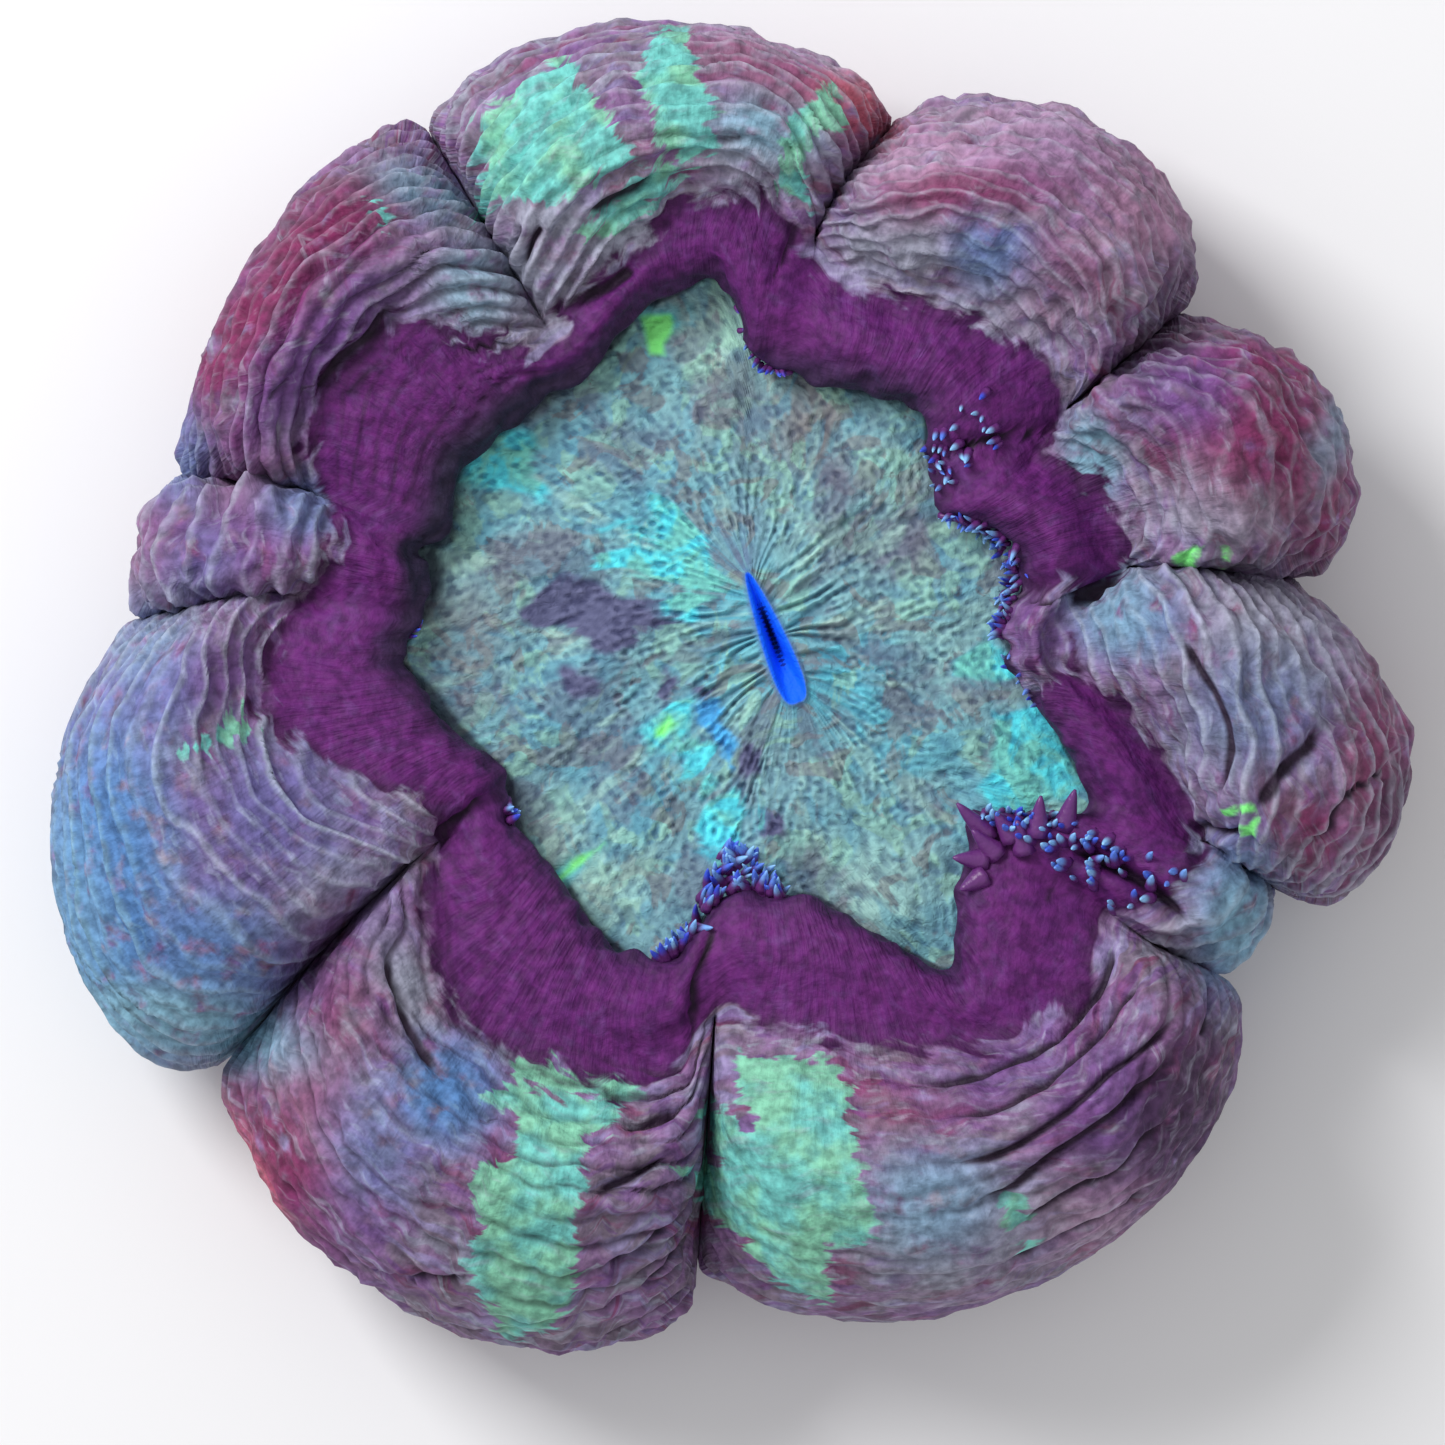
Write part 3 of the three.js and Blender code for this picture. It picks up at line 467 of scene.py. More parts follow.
class PolypColours(bpy.types.PropertyGroup):
    """Colours of the polyp's flesh."""

    band: colour("Band", "Smooth band of the lip", 94, 32, 102)
    band_shade: colour("Band shade", "Darker streaks of the band", 74, 28, 92)
    disc: colour("Disc", "Oral disc", 114, 156, 168)
    disc_green: colour("Disc green", "Greener parts of the oral disc", 136, 182, 166)
    disc_teal: colour("Disc teal", "Bluer parts of the oral disc", 90, 150, 174)
    disc_taupe: colour("Disc taupe", "Brownish streaks of the oral disc", 98, 100, 122)
    disc_earth: colour("Disc earth", "Beige blotches of the oral disc", 116, 116, 122)
    # Disc pale is also painted light at the disc's top tip, where the lip shades it
    disc_pale: colour("Disc pale", "Pale rays of the oral disc", 154, 192, 184)
    disc_glow: colour("Disc glow", "Bluer flesh around the mouth", 82, 168, 190)
    lip_shade: colour("Lip shade", "Disc in the shade of the lip", 36, 36, 54)
    disc_blue: colour("Disc blue", "Blue patch below the mouth", 70, 158, 216)
    umber: colour("Umber", "Dark wedges on the oral disc", 86, 88, 122)
    cyan: colour("Cyan", "Bright patches of the oral disc", 80, 202, 218)
    lime: colour("Lime", "Lime spots of the oral disc and the clefts", 134, 246, 136)
    mint: colour("Mint", "Mint patches of the mantle", 122, 186, 158)
    turquoise: colour("Turquoise", "Bluer parts of the mint patches", 106, 186, 180)
    mauve: colour("Mauve", "Mantle", 130, 98, 140)
    taupe: colour("Taupe", "Greyer parts of the mantle", 118, 104, 122)
    crimson: colour("Crimson", "Red parts of the mantle", 116, 38, 82)
    # Blue is partly painted blue rim light along the mantle's left edge, partly the flesh's own blue
    blue: colour("Blue", "Blue parts of the mantle", 82, 124, 176)
    grey: colour("Grey", "Grey-green parts of the mantle", 148, 151, 168)
    violet: colour("Violet", "Violet parts of the mantle", 104, 66, 126)
    # Plum is painted shade on flanks turned from the light
    plum_shade: colour("Plum", "Dark flanks of the mantle", 62, 42, 70)
    aqua: colour("Aqua", "Pale blue-green parts of the mantle", 122, 164, 184)
    rose: colour("Rose", "Pale pink parts of the mantle", 168, 136, 164)
    rust: colour("Rust", "Rust-red rims of the mantle", 186, 92, 106)
    lavender: colour("Lavender", "Blue-violet flecks of the mantle", 140, 132, 176)
    # Crest is partly a painted highlight on the ridges' tops, partly their pale flesh
    crest: colour("Crest", "Pale crests of the ridges", 180, 182, 200)
    # Groove is painted shade: it darkens the creases, the clefts, the ridges' grooves and the groove behind
    # the band
    groove: colour("Groove", "Dark grooves and clefts", 40, 24, 44)
    mouth: colour("Mouth", "Lips of the mouth", 8, 100, 252)
    # Throat is painted shade of the mouth's opening
    throat: colour("Throat", "Dark line along the mouth", 8, 46, 140)
    spike: colour("Spike", "Roots of the tentacles", 98, 42, 112)
    tip: colour("Tip", "Pale tips of the tentacles", 150, 208, 255)
    tip_blue: colour("Tip blue", "Bluer tips of the tentacles", 56, 84, 226)


class StageSettings(bpy.types.PropertyGroup):
    """Floor, light and camera."""

    floor: colour("Floor", "Plain pale floor", 238, 238, 240)
    key_power: FloatProperty(
        name="Key power", description="Power of the large soft light", default=5.2, min=0, unit="POWER",
    )
    sky: FloatProperty(
        name="Sky", description="Strength of the even light from all sides", default=0.62, min=0,
        subtype="FACTOR",
    )
    camera_height: length("Camera height", "Height of the camera above the base", 900)
    view_width: length("View width", "Width of the view at the height of the lobes' reach", 130)


def in_mm(settings, *names):
    """Named lengths of a settings group, in millimetres."""
    return [getattr(settings, name) / MM for name in names]


def lerp(start, end, share):
    """A straight blend from start to end."""
    return start + (end - start) * share


def smooth_step(low, high, value):
    """0 below low, 1 above high, and a smooth cubic between them."""
    share = np.clip((value - low) / (high - low), 0, 1)
    return share * share * (3 - 2 * share)


def polar(radius, angle):
    """Plan points at given radii and angles."""
    turn = np.radians(angle)
    return np.stack([radius * np.cos(turn), radius * np.sin(turn)], axis=-1)


def joined(plan, last):
    """Plan points with one more coordinate put behind them."""
    return np.concatenate([plan, np.broadcast_to(last, plan.shape[:-1])[..., None]], axis=-1)


def unit(vectors):
    """Vectors of length one in the same directions."""
    return vectors / np.maximum(np.linalg.norm(vectors, axis=-1, keepdims=True), 1e-9)


def cubic(start, end, start_slope, end_slope, share):
    """A cubic piece from start to end with the given slopes, at shares of its way."""
    rise = end - start
    square = 3 * rise - 2 * start_slope - end_slope
    cube = start_slope + end_slope - 2 * rise
    return start + share * (start_slope + share * (square + share * cube))


def outline_radius(outline, angle):
    """Radius of a closed outline at each angle: cubics through its points, sloped by their neighbours."""
    angles, radii = np.array(outline, float).T
    count = len(angles)
    turned = np.mod(angle, 360)
    start = np.searchsorted(angles, turned, side="right") - 1
    steps = [start + step for step in (-1, 0, 1, 2)]
    a0, a1, a2, a3 = (angles[step % count] + 360 * (step // count) for step in steps)
    r0, r1, r2, r3 = (radii[step % count] for step in steps)
    span = a2 - a1
    slopes = (r2 - r0) / (a2 - a0) * span, (r3 - r1) / (a3 - a1) * span
    return cubic(r1, r2, *slopes, (turned - a1) / span)


def through_three(values, place):
    """A parabola through a start, a middle and an end, at places from -1 to 1. values is (columns, 3)."""
    start, middle, end = values.T
    return middle + (end - start) / 2 * place + ((start + end) / 2 - middle) * place**2


def rippled(points, *ripples):
    """Smooth noise: for each ripple, sine waves of about its length, in directions drawn from its seed."""
    total = np.zeros(points.shape[:-1])
    for ripple in ripples:
        draw = np.random.default_rng(ripple.seed)
        height = ripple.size * np.sqrt(2 / ripple.waves)
        for _ in range(ripple.waves):
            direction = unit(draw.normal(size=points.shape[-1]))
            wave = direction * 2 * np.pi / (ripple.wave_length * draw.uniform(0.75, 1.35))
            total += height * np.sin(points @ wave + draw.uniform(0, 2 * np.pi))
    return total


def segment_gaps(plan, start, edge):
    """Each plan point's distance from every straight piece, and how far along the piece it is nearest."""
    offset = plan[..., None, :] - start
    share = np.clip((offset * edge).sum(-1) / (edge**2).sum(-1), 0, 1)
    return np.linalg.norm(offset - share[..., None] * edge, axis=-1), share


def inside_distance(plan, outlines, most=4):
    """How far inside the nearest outline each plan point lies, negative outside, cut off at most."""
    best = np.full(plan.shape[:-1], -float(most))
    x, y = plan[..., None, 0], plan[..., None, 1]
    for outline in outlines:
        start = np.array(outline, float)
        edge = np.roll(start, -1, axis=0) - start
        gap = segment_gaps(plan, start, edge)[0].min(-1)
        rise = np.where(edge[:, 1] == 0, 1, edge[:, 1])
        spans = (start[:, 1] > y) != (start[:, 1] + edge[:, 1] > y)
        crossings = (spans & (x < start[:, 0] + edge[:, 0] * (y - start[:, 1]) / rise)).sum(-1)
        best = np.maximum(best, np.where(crossings % 2 == 1, gap, -gap))
    return np.clip(best, -most, most)


def tint_field(plan, tints):
    """The strongest of several soft oval spots at each plan point: a flat-topped bell over each oval."""
    field = np.zeros(plan.shape[:-1])
    for tint in tints:
        turn = np.radians(tint.turn)
        offset = plan - np.array(tint.middle)
        along = (offset[..., 0] * np.cos(turn) + offset[..., 1] * np.sin(turn)) / tint.halves[0]
        across = (offset[..., 1] * np.cos(turn) - offset[..., 0] * np.sin(turn)) / tint.halves[1]
        field = np.maximum(field, tint.strength * np.exp(-((along**2 + across**2) ** 1.5)))
    return field


def curve_through(points, count):
    """count points on a smooth curve through the given ones: Catmull-Rom pieces with straight ends."""
    points = np.array(points, float)[None]
    return along_stations(points, np.linspace(0, points.shape[1] - 1, count))[0]


def crease_field(plan, upright, crease):
    """1 on a crease's path and falling off as a bell across it and towards its ends.

    upright is the upward part of the unit normal, which turns a gap in plan into one along a slope."""
    path = curve_through(crease.path, CREASE_PIECES * len(crease.path))
    start, edge = path[:-1], np.diff(path, axis=0)
    gap, share = segment_gaps(plan, start, edge)
    nearest = gap.argmin(-1)
    along = (nearest + np.take_along_axis(share, nearest[..., None], -1)[..., 0]) / len(start)
    ends = smooth_step(0, CREASE_TAPER, along) * smooth_step(0, CREASE_TAPER, 1 - along)
    return np.exp(-((gap.min(-1) / upright / crease.width) ** 2)) * lerp(CREASE_END, 1, ends)


def along_stations(stations, at):
    """Points on smooth curves through (columns, stations, axes) points, as Catmull-Rom pieces.

    The ends are straight. at counts along the stations, as one row for all columns or a row for each."""
    first = 2 * stations[:, :1] - stations[:, 1:2]
    last = 2 * stations[:, -1:] - stations[:, -2:-1]
    padded = np.concatenate([first, stations, last], axis=1)
    at = np.broadcast_to(at, (len(stations), np.shape(at)[-1]))
    piece = np.clip(np.floor(at).astype(int), 0, stations.shape[1] - 2)
    share = (at - piece)[..., None]
    p0, p1, p2, p3 = (np.take_along_axis(padded, (piece + step)[..., None], axis=1) for step in range(4))
    return cubic(p1, p2, (p2 - p0) / 2, (p3 - p1) / 2, share)


def lobe_bounds():
    """The clefts on the two sides of each lobe, as (lobes, 4) arrays, the second at greater angles."""
    first = np.array(CLEFTS, float)
    second = np.roll(first, -1, axis=0)
    second[-1, [0, 2]] += 360
    return first, second


def mantle_stations(form, lobe, place):
    """Profile stations of the mantle's columns, as (columns, stations, 3).

    Each column runs from the disc edge over the lip and its lobe to the base. place runs across a lobe from
    -1 at its first cleft to 1 at its second. A superellipse over place swells the lobe out of its clefts."""
    disc, lip_rise, cleft_lip = in_mm(form, "disc_height", "lip_rise", "cleft_lip_rise")
    reach_height, cleft_floor, underside = in_mm(form, "reach_height", "cleft_floor", "underside_height")
    first, second = (side[lobe].T for side in lobe_bounds())
    across = np.sin(place * np.pi / 2)
    full = (1 - np.abs(across) ** LOBE_SQUARENESS) ** (1 / LOBE_SQUARENESS)
    even = (place + 1) / 2
    bunched = (across + 1) / 2
    half_bunched = (even + bunched) / 2

    def cleft_angle(cleft, radius):
        """Angle of a cleft's line at a radius."""
        out = np.clip((radius - cleft[1]) / (cleft[3] - cleft[1]), 0, 1)
        return lerp(cleft[0], cleft[2], out)

    def at(radius, height, share):
        angle = lerp(cleft_angle(first, radius), cleft_angle(second, radius), share)
        return joined(polar(radius, angle), height)

    crest, groove = by_lobe("crest", lobe), by_lobe("groove", lobe)
    reach = through_three(by_lobe("reach", lobe), across)
    cleft_in = lerp(first[1], second[1], even)
    cleft_out = lerp(first[3], second[3], even)
    rim = outline_radius(DISC_EDGE, lerp(first[0], second[0], even))
    band = outline_radius(BAND_EDGE, lerp(first[0], second[0], half_bunched))
    lip = disc + lerp(cleft_lip, lip_rise, full)
    band_dip = np.minimum(band, cleft_in - CLEFT_BAND_GAP)
    band_top = lerp(disc + CLEFT_BAND_RISE, lip + BAND_RISE - groove, full)
    shoulder = lerp(band, reach, SHOULDER_AT)
    shoulder_top = lerp(reach_height, crest, SHOULDER_RISE)
    cleft_middle = lerp(cleft_in, cleft_out, CLEFT_MIDDLE_AT)
    cleft_middle_top = lerp(cleft_floor, disc, CLEFT_MIDDLE_RISE)
    outermost = lerp(cleft_out, reach, full)
    return np.stack([
        at(rim + LIP_TUCK, disc - LIP_SINK, even),
        at(rim + LIP_TUCK / 2, disc + LIP_FOOT_RISE, even),
        at(rim - LIP_OVERHANG, disc + LIP_NOSE_RISE, even),
        at(rim + 2 * LIP_OVERHANG, lip - LIP_BROW_DROP, even),
        at(lerp(rim, band, LIP_TOP_AT), lip, even),
        at(lerp(band_dip, band, full), band_top, half_bunched),
        at(lerp(cleft_in, lerp(band, reach, CREST_AT), full), lerp(disc, crest, full), bunched),
        at(lerp(cleft_middle, shoulder, full), lerp(cleft_middle_top, shoulder_top, full), bunched),
        at(outermost, lerp(cleft_floor, reach_height, full), bunched),
        at(lerp(cleft_out - CLEFT_UNDERCUT, reach - UNDERCUT, full), underside, bunched),
        at(outermost * BASE_SHARE, 0.0, bunched),
    ], axis=1)


def by_lobe(key, lobe):
    """One entry of each column's lobe."""
    return np.array([getattr(one, key) for one in LOBES], float)[lobe]


def mantle_columns():
    """Lobe index and place across it of every column, spaced closer towards the clefts."""
    counts = [lobe.columns for lobe in LOBES]
    lobe = np.repeat(np.arange(len(LOBES)), counts)
    step = np.concatenate([np.arange(count) / count * 2 - 1 for count in counts])
    return lobe, lerp(step, np.arcsin(step) * 2 / np.pi, COLUMN_BUNCHING)


def grid_normals(points):
    """Unit normals of a (columns, rings, 3) grid that joins round in its columns."""
    around = np.roll(points, -1, axis=0) - np.roll(points, 1, axis=0)
    outwards = np.gradient(points, axis=1)
    return unit(np.cross(outwards, around))


def ridge_relief(lobe, place, points, at):
    """Height of the mantle's ridges at each grid point, and the fields that colour them.

    Ridges are spaced evenly by the profile's length from the band to under the reach, so they fan out of the
    clefts. Their phase wanders, and each swells and fades along its way. The wave is a cosine, or a row of
    narrow bells that stand up as lines or cut in as grooves, as the lobe's form says. Crests lie at whole
    phases and grooves half way between them."""
    steps = np.linalg.norm(np.diff(points, axis=1), axis=-1)
    run = np.concatenate([np.zeros((len(points), 1)), np.cumsum(steps, axis=1)], axis=1)
    start = run[:, np.searchsorted(at, RIDGES_START)][:, None]
    end = run[:, np.searchsorted(at, RIDGES_END) - 1][:, None]
    along = (run - start) / (end - start)
    count, form, onto_band = (by_lobe(key, lobe)[:, None] for key in ("ridges", "form", "onto_band"))
    phase = count * along + rippled(points, *RIDGE_WANDER)
    turn = np.abs(phase - np.round(phase))
    wave = 0.5 * np.cos(2 * np.pi * turn)
    lines = np.exp(-((turn / RIDGE_LINE) ** 2)) - RIDGE_LINE_LEVEL
    grooves = RIDGE_GROOVE_LEVEL - np.exp(-(((0.5 - turn) / RIDGE_GROOVE) ** 2))
    height = lerp(wave, np.where(form > 0, lines, grooves), np.abs(form))
    own = np.stack(np.broadcast_arrays(np.round(phase), lobe[:, None], place[:, None]), axis=-1)
    swell = np.clip(SWELL_MEAN + rippled(own * np.array(SWELL_APART), SWELL_RIPPLE), *SWELL_LIMITS)
    ends = smooth_step(0, RIDGE_STARTS, along) * smooth_step(0, RIDGE_STOPS, 1 - along)
    ends = ends * lerp(onto_band, 1, smooth_step(LIP_TOP + 0.4, BAND_OUTER + 0.3, at))
    cleft_fade = 1 - np.abs(place[:, None]) ** RIDGE_SIDES
    depth = through_three(by_lobe("depth", lobe), place)[:, None]
    strength = swell * ends * cleft_fade
    # crest marks pale ridge tops, partly a painted highlight; cut marks the ridges' grooves for painted shade
    fields = {
        "phase": phase,
        "crest": strength * np.clip(1.4 * depth, 0.3, 1) * np.clip(0.35 + form, 0, 1),
        "cut": strength * np.clip(depth, 0.2, 1) * np.clip(0.4 - form, 0.15, 1),
    }
    return height * strength * depth, fields


def lip_point(form, angle, station):
    """Points on the lip at given angles and profile stations."""
    first, second = lobe_bounds()
    turned = np.where(angle < first[0, 0], angle + 360, angle)
    lobe = np.searchsorted(first[:, 0], turned, side="right") - 1
    place = 2 * (turned - first[lobe, 0]) / (second[lobe, 0] - first[lobe, 0]) - 1
    return along_stations(mantle_stations(form, lobe, place), station[:, None])[:, 0]


def lip_shelter(angle):
    """How much the lip overshadows its inner wall at each angle: flat-topped bells on the sheltered sides."""
    return sum(most * np.exp(-(((angle - middle) / half) ** 4)) for middle, half, most in SHELTERS)


def mouth_axes():
    """Unit directions along and across the mouth, in plan."""
    along = polar(1, MOUTH_ANGLE)
    return along, np.array([-along[1], along[0]])


def mouth_slit(angle):
    """The mouth's slit about its centre, as (angles, 2): a tapered oval, by the angle of its column."""
    turn = np.radians(angle - MOUTH_ANGLE)
    lengthwise = MOUTH_HALF_LENGTH * np.cos(turn)
    bulge = np.sign(np.sin(turn)) * np.abs(np.sin(turn)) ** MOUTH_BLUNTNESS
    crosswise = MOUTH_HALF_WIDTH * (1 + MOUTH_TAPER * np.cos(turn)) * bulge
    along, across = mouth_axes()
    return lengthwise[:, None] * along + crosswise[:, None] * across


def grid_piece(name, points, poles, fields, material):
    """A closed piece over a (columns, rings, 3) grid that joins round in its columns, with poles at its ends.

    Each field is an array over the grid. A pole takes the mean of the field next to it."""
    columns, rings = points.shape[:2]
    column, ring = np.meshgrid(np.arange(columns), np.arange(rings - 1), indexing="ij")
    here, beside = column * rings + ring, (column + 1) % columns * rings + ring
    quads = np.stack([here, here + 1, beside + 1, beside], axis=-1).reshape(-1, 4)
    inner = np.arange(columns) * rings
    outer = inner + rings - 1
    pole = columns * rings
    first_fan = np.stack([np.full(columns, pole), inner, np.roll(inner, -1)], axis=-1)
    last_fan = np.stack([np.full(columns, pole + 1), np.roll(outer, -1), outer], axis=-1)
    faces = quads.tolist() + first_fan.tolist() + last_fan.tolist()
    spread = {
        key: np.concatenate([field.reshape((-1,) + field.shape[2:]), field[:, [0, -1]].mean(axis=0)])
        for key, field in fields.items()
    }
    finished_piece(name, np.concatenate([points.reshape(-1, 3), poles]), faces, spread, material)


def finished_piece(name, points, faces, fields, material):
    """A smooth piece from points in millimetres, faces and fields over the points, stored as attributes.

    It rides on the body, stands for the solid and takes the given material."""
    mesh = bpy.data.meshes.new(name)
    mesh.from_pydata((points * MM).tolist(), [], faces)
    mesh.polygons.foreach_set("use_smooth", np.ones(len(mesh.polygons), dtype=bool))
    for key, values in fields.items():
        kind, item = ("FLOAT_VECTOR", "vector") if values.ndim == 2 else ("FLOAT", "value")
        mesh.attributes.new(key, kind, "POINT").data.foreach_set(item, values.astype(np.float32).ravel())
    mesh.materials.append(material)
    mesh.update()
    piece = bpy.data.objects.new(name, mesh)
    bpy.context.scene.collection.objects.link(piece)
    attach(piece, BODY)
    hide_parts(NODE)


class Finish:
    """A material, with short calls for the nodes that the finishes here are made of."""

    def __init__(self, name, roughness, specular):
        self.material = bpy.data.materials.new(name)
        self.material.use_nodes = True
        self.tree = self.material.node_tree
        self.shader = self.tree.nodes["Principled BSDF"]
        self.shader.inputs["Roughness"].default_value = roughness
        self.shader.inputs["Specular IOR Level"].default_value = specular
        self.place = self.tree.nodes.new("ShaderNodeTexCoord").outputs["Object"]

    def node(self, kind, inputs, **settings):
        """A node with its settings, and its inputs linked to sockets or set to values."""
        made = self.tree.nodes.new(kind)
        for key, value in settings.items():
            setattr(made, key, value)
        for key, value in inputs.items():
            if isinstance(value, bpy.types.NodeSocket):
                self.tree.links.new(value, made.inputs[key])
            else:
                made.inputs[key].default_value = value
        return made

    def field(self, name, output="Fac"):
        """The value of one of the piece's attributes."""
        return self.node("ShaderNodeAttribute", {}, attribute_name=name).outputs[output]

    def stretched(self, vector, scale):
        return self.node("ShaderNodeMapping", {"Vector": vector, "Scale": scale}).outputs["Vector"]

    def noise(self, wave_length, detail=2, vector=None, unit=1, distortion=0):
        """Noise from 0 to 1, over the object or over a vector whose unit is given in metres."""
        inputs = {"Vector": vector or self.place, "Scale": unit / (wave_length * MM), "Detail": detail,
                  "Distortion": distortion}
        return self.node("ShaderNodeTexNoise", inputs).outputs[0]

    def math(self, operation, first, second=0.0):
        return self.node("ShaderNodeMath", {0: first, 1: second}, operation=operation).outputs[0]

    def step(self, value, low, high, most=1.0):
        """0 below low, most above high, and smooth between them."""
        inputs = {"Value": value, "From Min": low, "From Max": high, "To Max": most}
        return self.node("ShaderNodeMapRange", inputs, interpolation_type="SMOOTHSTEP").outputs[0]

    def blend(self, share, under, over, mode="MIX"):
        inputs = {0: share, 6: under, 7: over}
        return self.node("ShaderNodeMix", inputs, data_type="RGBA", blend_type=mode).outputs[2]

    def patch(self, field, noise, ragged, soft=0.3):
        """A marking's mask: its inside distance in millimetres, made ragged by a noise, with a soft edge."""
        shift = self.math("MULTIPLY", self.math("SUBTRACT", noise, 0.5), ragged)
        return self.step(self.math("ADD", self.field(field), shift), -soft, soft)

    def done(self, colour, height, depth):
        """Sets the colour and a bump of the given depth in millimetres, and returns the material."""
        self.tree.links.new(colour, self.shader.inputs["Base Color"])
        bump = self.node("ShaderNodeBump", {"Height": height, "Distance": depth * MM, "Strength": 1.0})
        self.tree.links.new(bump.outputs["Normal"], self.shader.inputs["Normal"])
        return self.material


def rgba(value):
    """A colour with full cover, as shader sockets take it."""
    return (*value, 1)


def mantle_finish(colours):
    """Mottled mauve flesh with soft tints, mint patches and the purple band, with painted light and shade:
    pale crests that are partly a painted highlight, the fine grain's tone, and painted shade in the ridges'
    grooves, the creases, the clefts, behind the band, on the lip's inner wall and on flanks turned from the
    light.
    """
    finish = Finish("mantle_flesh", 0.62, 0.2)
    flow = finish.field("flow", "Vector")
    grain = finish.noise(1.1, 4)
    mottle = finish.noise(5, 4)
    blotch = finish.noise(2.6, 4)
    streak = finish.noise(1, 4, finish.stretched(flow, (0.28, 0.28, 1)), MM)
    tick = finish.noise(1, 3, finish.stretched(flow, (1.2, 1.2, 0.35)), MM)
    daub = finish.noise(2.2, 5, finish.stretched(flow, (0.32, 0.32, 1)), MM, 0.4)
    fleck = finish.noise(1.8, 5, finish.stretched(flow, (0.4, 0.4, 1)), MM, 0.4)
    rough = finish.math("MULTIPLY", finish.math("SUBTRACT", grain, 0.5), 0.3)
    turn = finish.math("ADD", finish.math("PINGPONG", finish.field("phase"), 0.5), rough)
    crest = finish.math("MULTIPLY", finish.field("crest"), finish.step(turn, 0.2, 0.03))
    cut = finish.math("MULTIPLY", finish.field("cut"), finish.step(turn, 0.31, 0.46))

    colour = finish.blend(finish.step(mottle, 0.38, 0.62), rgba(colours.mauve), rgba(colours.taupe))
    for key, noise, low, high in (
        ("crimson", daub, 0.54, 0.64), ("lavender", daub, 0.46, 0.36),
        ("grey", fleck, 0.56, 0.66), ("violet", fleck, 0.44, 0.36),
    ):
        colour = finish.blend(finish.step(noise, low, high, 0.62), colour, rgba(getattr(colours, key)))
    for key in TINTS:
        broken = finish.math("MULTIPLY", finish.field(key), finish.step(blotch, 0.26, 0.5, 1.1))
        colour = finish.blend(broken, colour, rgba(getattr(colours, key)))
    # Pale ridge crests, partly a painted highlight
    pale = finish.blend(finish.field("blue"), rgba(colours.crest), rgba(colours.aqua))
    colour = finish.blend(finish.math("MULTIPLY", crest, 0.5), colour, pale)
    colour = finish.blend(finish.step(streak, 0.56, 0.72, 0.3), colour, pale)
    mint = finish.blend(finish.step(mottle, 0.4, 0.6), rgba(colours.mint), rgba(colours.turquoise))
    mint = finish.blend(finish.step(streak, 0.52, 0.75, 0.4), mint, rgba(colours.grey))
    colour = finish.blend(finish.patch("mint", streak, 5), colour, mint)
    colour = finish.blend(finish.patch("cleft_light", blotch, 2), colour, rgba(colours.lime))
    band = finish.blend(finish.step(tick, 0.4, 0.64, 0.35), rgba(colours.band), rgba(colours.band_shade))
    band = finish.blend(finish.step(fleck, 0.55, 0.7, 0.35), band, rgba(colours.violet))
    # Ridge crests on the band, lighter: partly a painted highlight
    band = finish.blend(finish.math("MULTIPLY", crest, 0.15), band, rgba(colours.mauve))
    # Painted shade in the groove behind the band, at its outer edge
    band = finish.blend(finish.step(finish.field("band"), 2.5, -0.5, 0.6), band, rgba(colours.groove))
    # Painted shade on the lip's inner wall
    band = finish.blend(finish.field("lip_wall_shade"), band, rgba(colours.lip_shade))
    colour = finish.blend(finish.patch("band", daub, 9, 0.7), colour, band)
    # Painted shade in the creases, the clefts and the ridges' grooves
    crease = finish.step(finish.field("crease"), 0.3, 0.85, 0.95)
    dark = finish.math("MAXIMUM", crease, finish.math("MULTIPLY", cut, 0.85))
    colour = finish.blend(dark, colour, rgba(colours.groove))
    # Tone follows the grain that also raises the bump: painted light on its tops and painted shade in its
    # hollows
    shade = finish.step(grain, 0.25, 0.75)
    tone = finish.blend(shade, (0.6, 0.6, 0.63, 1), (1.36, 1.36, 1.36, 1))
    colour = finish.blend(1.0, colour, tone, "MULTIPLY")
    height = finish.math("ADD", finish.math("ADD", grain, streak), tick)
    return finish.done(colour, height, 0.22)


